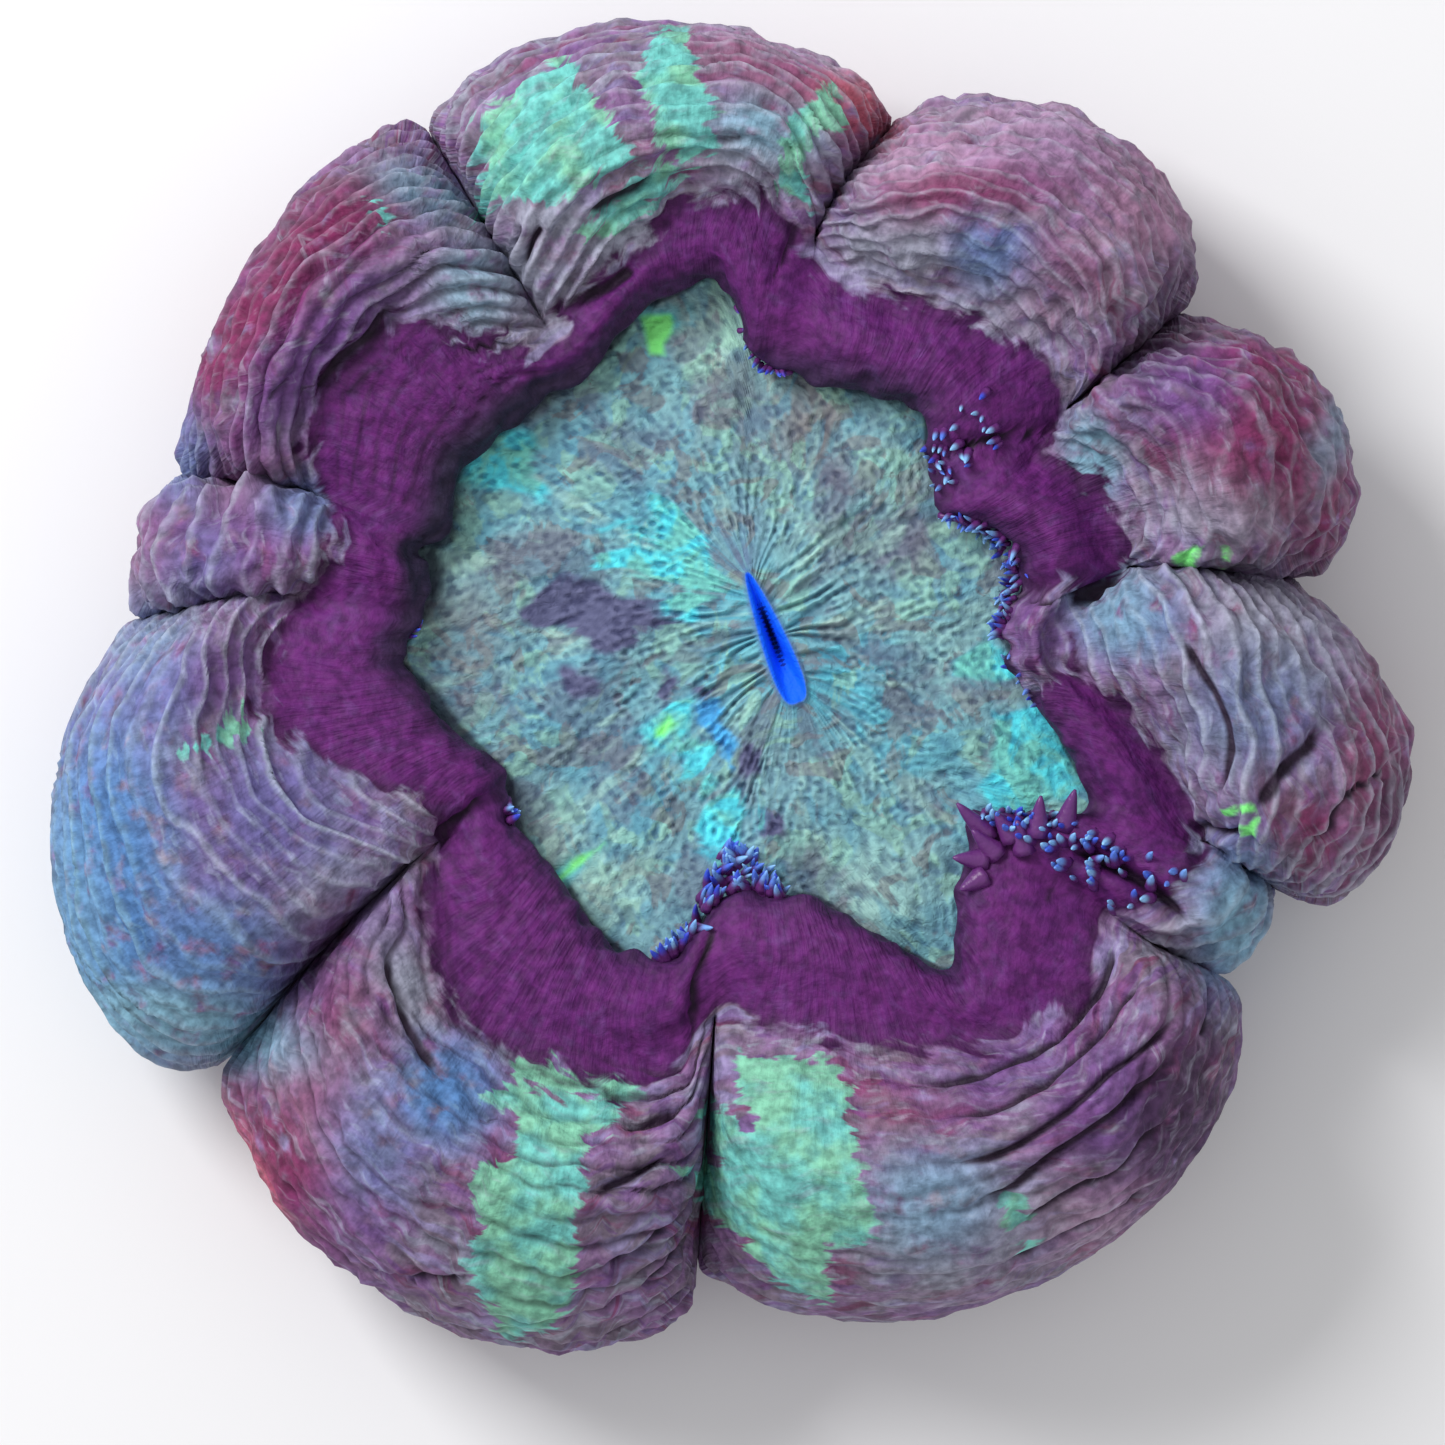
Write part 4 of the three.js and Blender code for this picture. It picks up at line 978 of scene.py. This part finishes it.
def disc_finish(colours):
    """Grey-teal grained flesh with radial streaks, bright patches, dark wedges and the blue mouth, with
    painted light on the grains' tops, painted shade in their pits and furrows, the lip's painted shade at the
    edge and a painted shade line in the mouth's opening.
    """
    finish = Finish("disc_flesh", 0.65, 0.2)
    grain = finish.noise(0.7, 3, distortion=0.6)
    mottle = finish.noise(8, 4, distortion=0.5)
    earth = finish.noise(3.8, 6, distortion=0.9)
    green = finish.noise(4.4, 5, distortion=0.8)
    blotch = finish.noise(1.8, 5)
    fan = finish.field("fan", "Vector")
    torn = finish.noise(2.4, 8, fan, MM, 0.8)
    ray = finish.noise(1.7, 6, finish.stretched(fan, (1, 1, 0.5)), MM, 0.3)
    papilla = finish.field("papilla")
    streak = finish.field("streak")

    colour = finish.blend(finish.step(mottle, 0.44, 0.6, 0.6), rgba(colours.disc), rgba(colours.disc_teal))
    for key in DISC_TINTS:
        broken = finish.math("MULTIPLY", finish.field(key), finish.step(torn, 0.34, 0.56))
        colour = finish.blend(broken, colour, rgba(getattr(colours, key)))
    colour = finish.blend(finish.step(green, 0.53, 0.59, 0.6), colour, rgba(colours.disc_green))
    colour = finish.blend(finish.step(earth, 0.54, 0.59, 0.65), colour, rgba(colours.disc_earth))
    taupe = finish.math("ADD", streak, finish.math("MULTIPLY", finish.math("SUBTRACT", blotch, 0.5), 3))
    colour = finish.blend(finish.step(taupe, 0.5, 1.3, 0.55), colour, rgba(colours.disc_taupe))
    for line, low, tint in ((torn, 0.6, colours.disc_teal), (ray, 0.56, colours.disc_pale)):
        lines = finish.math("MULTIPLY", finish.step(line, low, 0.66, 0.5), finish.field("ray_share"))
        colour = finish.blend(lines, colour, rgba(tint))
    bright = finish.blend(finish.step(earth, 0.42, 0.58), rgba(colours.cyan), rgba(colours.turquoise))
    spots = finish.math("MULTIPLY", finish.patch("taupe", torn, 12, 1), 0.5)
    colour = finish.blend(spots, colour, rgba(colours.disc_taupe))
    colour = finish.blend(finish.patch("umber", torn, 6, 0.5), colour, rgba(colours.umber))
    colour = finish.blend(finish.patch("cyan", torn, 10, 1.8), colour, rgba(colours.disc_teal))
    colour = finish.blend(finish.patch("cyan", torn, 8, 0.6), colour, bright)
    colour = finish.blend(finish.patch("disc_blue", blotch, 2.5, 0.5), colour, rgba(colours.disc_blue))
    # Painted light on the grains' tops and painted shade in their pits and furrows
    tone = finish.blend(finish.step(papilla, -1.9, 1.5), (0.56, 0.58, 0.68, 1), (1.36, 1.38, 1.3, 1))
    colour = finish.blend(1.0, colour, tone, "MULTIPLY")
    colour = finish.blend(finish.field("lip_shade"), colour, rgba(colours.lip_shade))
    colour = finish.blend(finish.patch("lime", torn, 7, 1.3), colour, bright)
    colour = finish.blend(finish.patch("lime", torn, 2, 0.4), colour, rgba(colours.lime))
    gap = finish.field("mouth_gap")
    colour = finish.blend(finish.step(gap, 1.0, 0.3, 0.8), colour, rgba(colours.blue))
    colour = finish.blend(finish.step(gap, 0.5, 0.2), colour, rgba(colours.mouth))
    # Painted shade of the mouth's opening: a dark line with cross bars
    bars = finish.math("SINE", finish.math("MULTIPLY", finish.field("mouth_along"), THROAT_BARS))
    bars = finish.math("MULTIPLY", bars, THROAT_BAR_REACH)
    throat = finish.math("SUBTRACT", finish.field("mouth_across"), bars)
    colour = finish.blend(finish.step(throat, 0.22, 0.08, 0.9), colour, rgba(colours.throat))
    return finish.done(colour, grain, 0.22)


def tentacle_finish(colours):
    """Purple flesh with a blue tip, that is as pale as each tentacle's own paleness says."""
    finish = Finish("tentacle_flesh", 0.4, 0.5)
    grain = finish.noise(0.5, 2)
    pale = finish.field("pale")
    tip = finish.blend(finish.step(pale, 0.3, 0.9), rgba(colours.tip_blue), rgba(colours.tip))
    end = finish.math("MULTIPLY", finish.step(pale, 0.1, 0.4), finish.step(finish.field("along"), 0.3, 0.75))
    colour = finish.blend(end, rgba(colours.spike), tip)
    return finish.done(colour, grain, 0.08)


def floor_finish(settings):
    """Plain pale floor with a faint unevenness of tone."""
    finish = Finish("pale_floor", 0.8, 0.2)
    tone = finish.noise(400, 2)
    darker = tuple(0.97 * part for part in settings.floor)
    colour = finish.blend(tone, rgba(settings.floor), rgba(darker))
    return finish.done(colour, tone, 0.05)


class CORAL_OT_oral_disc(bpy.types.Operator):
    """Makes the sunken oral disc with its grains, furrows and slit mouth"""

    bl_idname = "coral.oral_disc"
    bl_label = "Oral disc"

    COLUMNS = 640
    DISC_RINGS = 124
    RING_BUNCHING = 1.15  # power that draws the rings closer towards the mouth
    EDGE_OVERLAP = 0.5  # how far the disc runs on past the lip's tuck
    WALL = [(0.12, 0.95), (0.25, 0.65), (0.45, 0.36), (0.7, 0.16), (0.9, 0.04)]  # shares of slit and depth
    WALL_GAP = 0.9  # how deep inside the mouth's colour the middle of the wall counts
    SKIRT = [(0.6, -0.9), (0.2, -2.5)]  # rings under the disc edge: radius past it, height
    THICKNESS = 7

    FAN_RADIUS = 8  # of the circle that stands for the angle in noise drawn out along the rays
    FURROWS = 30
    FURROW_FAN = (1, 0.35)  # scales of such noise: around, outwards
    FURROW_WANDER = Ripple(3, 3, 11)
    FURROW_FADE = (4, 10)  # distances from the mouth over which the furrows end
    FURROW_FRAY = Ripple(2, 6, 16)
    FURROW_SIDES = 2.2  # power that keeps the furrows beside the slit
    STROKE_FAN = (2.2, 0.5)
    STROKES = Ripple(0.6, 0.9, 13, 30)
    GRAINS = Ripple(0.55, 0.85, 12, 30)
    GRAIN_PATCHES = Ripple(1, 4, 20)
    GRAIN_LEVELS = (0.5, 1.25)  # least and most height of the grains by patches
    PITS = Ripple(1, 1.05, 19, 30)
    PIT_DEPTH = 1.1
    NEAR_GRAINS = 0.2  # share of the grains' height at the mouth
    STREAK_FAN = (1.3, 0.4)
    STREAKS = Ripple(1, 4, 15)
    TORN_FAN = (1.3, 0.3)
    FOLDS = Ripple(1, 9, 14)
    FOLD_HEIGHT = 0.22
    MOUTH_LIP = 0.35  # height, place and half width of the mouth's lips
    THROAT_ENDS = (3.1, 4.1)  # distances from the mouth's middle over which its dark line ends
    THROAT_EXTRA = 0.12  # how much wider the line is in the upper half
    SHADE_AT = 1.9  # distance from the disc edge at which the lip's shade is full
    SHADE_WIDTH = 0.5
    SHELTER_WIDTH = 0.9
    SHADE = 0.85

    def execute(self, context):
        form, colours = context.scene.polyp_form, context.scene.polyp_colours
        points, fields = self.surface(form)
        disc = form.disc_height / MM
        top = disc + form.disc_mound / MM
        poles = np.array([[*MOUTH_CENTRE, top - MOUTH_DEPTH], [0, 0, disc - self.THICKNESS]])
        grid_piece("oral_disc", points, poles, fields, disc_finish(colours))
        return {"FINISHED"}

    def surface(self, form):
        """The disc's grid: up the mouth's wall, over its lips, and by shares from the slit to the disc edge.

        The height is a low mound over the share, with furrows as a wandering cosine of the angle that fade
        away from the mouth, folds and grains as ripples in plan."""
        disc, mound = in_mm(form, "disc_height", "disc_mound")
        papilla, furrow = in_mm(form, "papilla_height", "furrow_depth")
        angle = np.arange(self.COLUMNS) / self.COLUMNS * 360
        share = np.linspace(0, 1, self.DISC_RINGS) ** self.RING_BUNCHING
        slit = mouth_slit(angle)
        edge = outline_radius(DISC_EDGE, angle) + LIP_TUCK + self.EDGE_OVERLAP
        rim = polar(edge, angle) - MOUTH_CENTRE
        plan = MOUTH_CENTRE + lerp(slit[:, None], rim[:, None], share[:, None])
        gap = np.linalg.norm(plan - MOUTH_CENTRE - slit[:, None], axis=-1)
        circle = polar(self.FAN_RADIUS, angle)[:, None]

        def fan(outwards, scales):
            """Coordinates for noise drawn out along the rays from the mouth."""
            return joined(np.broadcast_to(circle, outwards.shape + (2,)) * scales[0], scales[1] * outwards)

        beside = np.abs(np.sin(np.radians(angle - MOUTH_ANGLE)))[:, None]
        fade = 1 - smooth_step(*self.FURROW_FADE, gap + rippled(plan, self.FURROW_FRAY))
        wander = rippled(fan(gap, self.FURROW_FAN), self.FURROW_WANDER)
        furrows = np.cos(self.FURROWS * np.radians(angle)[:, None] + wander)
        furrows = furrows * smooth_step(0.3, 1.2, gap) * fade * beside**self.FURROW_SIDES
        grains = rippled(plan, self.GRAINS) + rippled(fan(gap, self.STROKE_FAN), self.STROKES)
        grains = grains * lerp(*self.GRAIN_LEVELS, smooth_step(-1, 1, rippled(plan, self.GRAIN_PATCHES)))
        grains = grains - self.PIT_DEPTH * smooth_step(0.9, 1.8, rippled(plan, self.PITS))
        grains = grains * lerp(self.NEAR_GRAINS, 1, smooth_step(1.5, 6.5, gap))
        folds = rippled(plan, self.FOLDS)
        lips = self.MOUTH_LIP * np.exp(-((gap / self.MOUTH_LIP - 1) ** 2))
        height = disc + mound * (1 - share) ** 2 + lips + self.FOLD_HEIGHT * folds * smooth_step(2, 8, gap)
        height = height + furrow * furrows + papilla * grains

        wall_share, wall_depth = np.array(self.WALL).T
        wall = MOUTH_CENTRE + slit[:, None] * wall_share[:, None]
        wall_height = np.broadcast_to(disc + mound - wall_depth * MOUTH_DEPTH, wall.shape[:2])
        wall_gap = np.linalg.norm(wall - MOUTH_CENTRE - slit[:, None], axis=-1)
        wall_gap = -np.maximum(wall_gap * beside, (1 - wall_share) * self.WALL_GAP)

        skirt = np.stack([polar(edge + out, angle) for out, _ in self.SKIRT], axis=1)
        skirt_height = np.broadcast_to([disc + drop for _, drop in self.SKIRT], skirt.shape[:2])

        flat = np.concatenate([wall, plan, skirt], axis=1)
        points = joined(flat, np.concatenate([wall_height, height, skirt_height], axis=1))
        along, across = ((flat - MOUTH_CENTRE) @ axis for axis in mouth_axes())
        throat = np.abs(across) + smooth_step(*self.THROAT_ENDS, np.abs(along))
        throat = throat - self.THROAT_EXTRA * smooth_step(1, -1.5, along)
        shade_width = self.SHADE_WIDTH + self.SHELTER_WIDTH * lip_shelter(angle)
        inwards = (1 - share) * edge[:, None] + 0.3 * folds
        lip_shade = self.SHADE * smooth_step(self.SHADE_AT + shade_width[:, None], self.SHADE_AT, inwards)

        def whole(values, below=0, inside=np.zeros(wall.shape[:2])):
            """A field of the disc, with values for the mouth's wall and the skirt below the edge."""
            return np.concatenate([inside, values, np.full(skirt.shape[:2], float(below))], axis=1)

        streak = rippled(fan(gap, self.STREAK_FAN), self.STREAKS)
        fields = {
            # Relief of grains and furrows, for their painted light and shade
            "papilla": whole(grains + 1.2 * furrows),
            "streak": whole(streak),
            "mouth_gap": whole(gap, 9, wall_gap),
            "fan": fan(np.linalg.norm(flat - MOUTH_CENTRE, axis=-1), self.TORN_FAN),
            "ray_share": whole(lerp(beside**2, 1, smooth_step(2, 9, gap))),
            "mouth_along": along,
            "mouth_across": throat,
            "lip_shade": whole(lip_shade, 1),
            "cyan": inside_distance(flat, CYAN_PATCHES),
            "lime": inside_distance(flat, LIME_PATCHES),
            "umber": inside_distance(flat, UMBER_WEDGES),
            "taupe": inside_distance(flat, TAUPE_SPOTS),
            "disc_blue": inside_distance(flat, DISC_BLUES),
            **{key: tint_field(flat, tints) for key, tints in DISC_TINTS.items()},
        }
        return points, fields


class CORAL_OT_mantle(bpy.types.Operator):
    """Makes the lip and the mantle's ridged lobes, down to the flat base"""

    bl_idname = "coral.mantle"
    bl_label = "Mantle"

    LIP_RINGS = 30
    LOBE_RINGS = 135
    BASE_RINGS = 4
    FLOOR_DROP = 9  # inner floor under the oral disc, below the disc edge
    SWELLING = [Ripple(0.7, 8, 21), Ripple(0.45, 3.4, 22), Ripple(0.25, 1.9, 23)]
    SCALLOPS = Ripple(0.22, 2.6, 24)
    SCALLOPS_AT = 2.3  # station of the lip that they are strongest at
    RELIEF_SIDES = 8  # power that keeps the relief out of the clefts
    LIP_CRUMPLE = 0.35  # share of the swelling on the lip
    LEAST_UPRIGHT = 0.3
    FLOW_RADIUS = 55  # of the circle that stands for the angle in noise drawn out along the profile
    # Painted shade on the lip's inner wall, on open and on sheltered sides
    OPEN_SHADE = (0.6, 3.6, 2.2)  # inner wall of the lip: darkness, stations where it starts and is full
    SHELTERED_SHADE = (0.92, 3.85, 2.9)
    CLEFT_SHADE_AT = 0.9  # place across a lobe at which the clefts' shade starts

    def execute(self, context):
        form, colours = context.scene.polyp_form, context.scene.polyp_colours
        points, fields = self.surface(form)
        poles = np.array([[0, 0, form.disc_height / MM - self.FLOOR_DROP], [0, 0, 0]])
        grid_piece("mantle", points, poles, fields, mantle_finish(colours))
        return {"FINISHED"}

    def surface(self, form):
        """The mantle's grid of columns and profile stations, pushed along its normals by relief.

        The relief is the lobes' ridges, ripples of several lengths for uneven swelling, and the drawn creases
        as bell-shaped trenches. It fades out towards the base and in the clefts."""
        lobe, place = mantle_columns()
        at = np.concatenate([
            np.linspace(0, BAND_OUTER, self.LIP_RINGS, endpoint=False),
            np.linspace(BAND_OUTER, RIDGES_END, self.LOBE_RINGS, endpoint=False),
            np.linspace(RIDGES_END, BASE, self.BASE_RINGS),
        ])
        stations = mantle_stations(form, lobe, place)
        points = along_stations(stations, at)
        normals = grid_normals(points)
        reach = along_stations(stations, np.array([float(REACH)]))[..., :2]
        plan = np.where((at <= REACH)[:, None], points[..., :2], reach)

        crumple, = in_mm(form, "crumple_height")
        above = smooth_step(BASE - 0.2, RIDGES_END - 0.4, at)
        open_side = 1 - np.abs(place[:, None]) ** self.RELIEF_SIDES
        ridge, ridge_fields = ridge_relief(lobe, place, points, at)
        swelling = by_lobe("crumple", lobe)[:, None] * rippled(points, *self.SWELLING)
        scallops = rippled(points, self.SCALLOPS) * np.exp(-((at - self.SCALLOPS_AT) ** 2))
        upright = np.clip(normals[..., 2], self.LEAST_UPRIGHT, 1)
        # crease marks where the creases get painted shade; trench is how deep they are cut
        crease = np.zeros(points.shape[:2])
        trench = np.zeros(points.shape[:2])
        for one in CREASES:
            field = crease_field(plan, upright, one) * smooth_step(REACH + 0.3, REACH - 0.1, at)
            crease = np.maximum(crease, np.minimum(1, one.depth) * field)
            trench = np.maximum(trench, one.depth * field)
        past_lip = smooth_step(LIP_TOP, BAND_OUTER + 0.5, at)
        on_lip = smooth_step(0.5, 3, at) * lerp(self.LIP_CRUMPLE, 1, past_lip)
        relief = form.ridge_share * ridge + crumple * swelling * on_lip
        relief = relief * open_side * above + scallops - trench
        points = points + normals * relief[..., None]

        radius = np.linalg.norm(plan, axis=-1)
        band_angle = np.degrees(np.arctan2(plan[..., 1], plan[..., 0]))
        band = outline_radius(BAND_EDGE, band_angle) - radius
        run = np.cumsum(np.linalg.norm(np.diff(points, axis=1, prepend=points[:, :1]), axis=-1), axis=1)
        flow = joined(np.broadcast_to(unit(reach) * self.FLOW_RADIUS, plan.shape), run)
        shades = [most * smooth_step(start, full, at) for most, start, full in
                  (self.OPEN_SHADE, self.SHELTERED_SHADE)]
        # Painted shade in the clefts
        cleft = np.where(place < 0, lobe, lobe + 1)
        cleft_shade = smooth_step(self.CLEFT_SHADE_AT, 1, np.abs(place)) * np.array(CLEFT_SHADE)[cleft]
        cleft_shade = cleft_shade[:, None] * smooth_step(LIP_TOP + 0.6, BAND_OUTER + 0.6, at)
        fields = {
            **ridge_fields,
            "crease": np.maximum(crease, cleft_shade),
            "band": np.minimum(band, -inside_distance(plan, BAND_BREAKS)),
            "mint": inside_distance(plan, MINT_PATCHES),
            "cleft_light": inside_distance(plan, CLEFT_LIGHTS),
            **{key: tint_field(plan, tints) for key, tints in TINTS.items()},
            "flow": flow,
            "lip_wall_shade": lerp(*shades, lip_shelter(band_angle % 360)),
        }
        return points, fields


class CORAL_OT_tentacles(bpy.types.Operator):
    """Makes the clusters of short tentacles on the lip"""

    bl_idname = "coral.tentacles"
    bl_label = "Tentacles"

    SIDES = 8
    RINGS = 7
    ROOT = 0.5  # how deep a tentacle is set into the lip
    SEED = 31
    GOLDEN_SHARE = 0.618  # spreads the tentacles of a cluster over its stations
    STRAY = 40  # how far a tentacle's aim strays from the middle, in degrees
    ON_DISC = 1  # inset past which a tentacle stands on the disc
    DISC_LIFT = 0.3  # height of such a root above the disc edge
    SPIKE_RISE = 0.45  # rise of a spike for its length in plan
    SPIKE_RADIUS = 1.2
    SPIKE_PALE = 0.12
    BEND = 0.12

    def execute(self, context):
        form, colours = context.scene.polyp_form, context.scene.polyp_colours
        parts = zip(self.clusters(form), self.spikes(form))
        self.build(*(np.concatenate(part) for part in parts), tentacle_finish(colours))
        return {"FINISHED"}

    def clusters(self, form):
        """Roots, tips, radii and paleness of the tentacles, strewn over each cluster's part of the lip."""
        draw = np.random.default_rng(self.SEED)
        parts = []
        for cluster in CLUSTERS:
            count, lean = cluster.count, np.radians(cluster.lean)
            order = np.arange(count) + 0.5
            angle = lerp(*cluster.angles, order / count)
            across = np.mod(order * self.GOLDEN_SHARE + draw.uniform(0, 0.2, count), 1)
            root = lip_point(form, np.mod(angle, 360), lerp(*cluster.stations, across))
            middle = 1 - np.abs(2 * order / count - 1) ** 2
            inset = cluster.inset * middle * draw.uniform(0, 1, count)
            root[:, :2] -= inset[:, None] * unit(root[:, :2])
            root[:, 2] = np.where(inset > self.ON_DISC, form.disc_height / MM + self.DISC_LIFT, root[:, 2])
            inward = angle + 180 + draw.normal(0, self.STRAY, count)
            size = draw.uniform(0.7, 1.25, count)
            aim = joined(polar(np.sin(lean), inward), np.cos(lean))
            tip = root + aim * (cluster.length * size)[:, None]
            pale = cluster.pale * draw.uniform(0.35, 1, count)
            parts.append((root, tip, cluster.radius * size, pale))
        return [np.concatenate(column) for column in zip(*parts)]

    def spikes(self, form):
        """Roots, tips, radii and paleness of the crown of purple spikes."""
        plan = np.array(SPIKES)
        angle = np.degrees(np.arctan2(plan[:, 0, 1], plan[:, 0, 0])) % 360
        steps = np.linspace(1.5, BAND_OUTER, 60)
        lip = np.stack([lip_point(form, angle, np.full(len(angle), step)) for step in steps], axis=1)
        gap = np.linalg.norm(lip[..., :2] - plan[:, None, 0], axis=-1)
        root = lip[np.arange(len(angle)), gap.argmin(axis=1)]
        aim = plan[:, 1] - plan[:, 0]
        tip = root + joined(aim, np.linalg.norm(aim, axis=-1) * self.SPIKE_RISE)
        return root, tip, np.full(len(angle), self.SPIKE_RADIUS), np.full(len(angle), self.SPIKE_PALE)

    def build(self, root, tip, radius, pale, material):
        """One piece of all tentacles: round sections along a bent middle line, tapering to a blunt tip.

        The radius falls about as the square root of what is left to the tip, and the middle line bends as
        half a sine wave."""
        count, sides, rings = len(root), self.SIDES, self.RINGS
        along = np.linspace(0, 1, rings)
        aim = unit(tip - root)
        side = unit(np.cross(aim, [0.3, 0.2, 1.0]))
        other = np.cross(aim, side)
        middle = lerp((root - aim * self.ROOT)[:, None], tip[:, None], along[:, None])
        middle = middle + self.BEND * np.sin(np.pi * along)[:, None] * other[:, None]
        taper = np.clip(1 - along, 0.02, 1) ** 0.45 * (1 - 0.35 * along)
        turn = np.arange(sides) / sides * 2 * np.pi
        round_way = np.cos(turn)[:, None] * side[:, None] + np.sin(turn)[:, None] * other[:, None]
        points = middle[:, :, None] + round_way[:, None] * (radius[:, None] * taper)[..., None, None]

        ring, spot = np.meshgrid(np.arange(rings - 1), np.arange(sides), indexing="ij")
        here, beside = ring * sides + spot, ring * sides + (spot + 1) % sides
        quads = np.stack([here, beside, beside + sides, here + sides], axis=-1).reshape(-1, 4)
        base = np.arange(count) * sides * rings
        faces = (quads + base[:, None, None]).reshape(-1, 4).tolist()
        faces += (np.arange(sides)[::-1] + base[:, None]).tolist()
        faces += (np.arange(sides) + (rings - 1) * sides + base[:, None]).tolist()
        fields = {
            "along": np.broadcast_to(along[:, None], (count, rings, sides)).ravel(),
            "pale": np.broadcast_to(pale[:, None, None], (count, rings, sides)).ravel(),
        }
        finished_piece("tentacles", points.reshape(-1, 3), faces, fields, material)


class CORAL_OT_stage(bpy.types.Operator):
    """Makes the floor, the soft light and the camera straight above"""

    bl_idname = "coral.stage"
    bl_label = "Stage"

    FLOOR_HALF = 3.0  # in metres, as the light's place and size are
    VIEW_MIDDLE = (-1.6, -6.5)  # middle of the view in plan
    LEVEL = 16  # height at which the view width is measured
    KEY_AT = (-0.44, 0.38, 0.54)
    KEY_SIZE = 0.3
    CLIP_END = 50

    def execute(self, context):
        scene, settings = context.scene, context.scene.polyp_stage
        self.floor(scene, settings)
        self.light(scene, settings)
        self.camera(scene, settings)
        scene.view_settings.view_transform = "Standard"
        return {"FINISHED"}

    def floor(self, scene, settings):
        """The plain pale floor, which is stage."""
        half = self.FLOOR_HALF
        mesh = bpy.data.meshes.new("floor")
        corners = [(-half, -half, 0), (half, -half, 0), (half, half, 0), (-half, half, 0)]
        mesh.from_pydata(corners, [], [(0, 1, 2, 3)])
        mesh.materials.append(floor_finish(settings))
        floor = bpy.data.objects.new("floor", mesh)
        scene.collection.objects.link(floor)

    def light(self, scene, settings):
        """One large soft light and an even surround."""
        lamp = bpy.data.lights.new("key", "AREA")
        lamp.energy = settings.key_power
        lamp.size = self.KEY_SIZE
        key = bpy.data.objects.new("key", lamp)
        key.location = self.KEY_AT
        key.rotation_euler = (-key.location).to_track_quat("-Z", "Y").to_euler()
        scene.collection.objects.link(key)
        scene.world = scene.world or bpy.data.worlds.new("sky")
        scene.world.use_nodes = True
        sky = scene.world.node_tree.nodes["Background"]
        sky.inputs["Color"].default_value = (1, 1, 1, 1)
        sky.inputs["Strength"].default_value = settings.sky

    def camera(self, scene, settings):
        """A camera straight above, at the photo's angle."""
        lens = bpy.data.cameras.new("camera")
        height = settings.camera_height
        lens.angle = 2 * np.arctan(settings.view_width / 2 / (height - self.LEVEL * MM))
        lens.clip_end = self.CLIP_END
        camera = bpy.data.objects.new("camera", lens)
        camera.location = (self.VIEW_MIDDLE[0] * MM, self.VIEW_MIDDLE[1] * MM, height)
        scene.collection.objects.link(camera)
        scene.camera = camera


class CORAL_PT_polyp(bpy.types.Panel):
    """Lists the polyp's settings and the operators that make it"""

    bl_idname = "CORAL_PT_polyp"
    bl_label = "Coral polyp"
    bl_space_type = "VIEW_3D"
    bl_region_type = "UI"
    bl_category = "Coral"

    def draw(self, context):
        for operator in OPERATORS:
            self.layout.operator(operator.bl_idname)
        for key in SETTINGS:
            group = getattr(context.scene, key)
            box = self.layout.box()
            for name in group.__annotations__:
                box.prop(group, name)


SETTINGS = {"polyp_form": PolypForm, "polyp_colours": PolypColours, "polyp_stage": StageSettings}
OPERATORS = (CORAL_OT_stage, CORAL_OT_oral_disc, CORAL_OT_mantle, CORAL_OT_tentacles)
CLASSES = (*SETTINGS.values(), *OPERATORS, CORAL_PT_polyp)


def register():
    for one in CLASSES:
        bpy.utils.register_class(one)
    for key, group in SETTINGS.items():
        setattr(bpy.types.Scene, key, PointerProperty(type=group))


def unregister():
    for key in SETTINGS:
        delattr(bpy.types.Scene, key)
    for one in reversed(CLASSES):
        bpy.utils.unregister_class(one)


def main():
    """Registers the classes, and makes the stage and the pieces."""
    register()
    bpy.ops.coral.stage()
    bpy.ops.coral.oral_disc()
    bpy.ops.coral.mantle()
    bpy.ops.coral.tentacles()


if __name__ == "__main__":
    main()
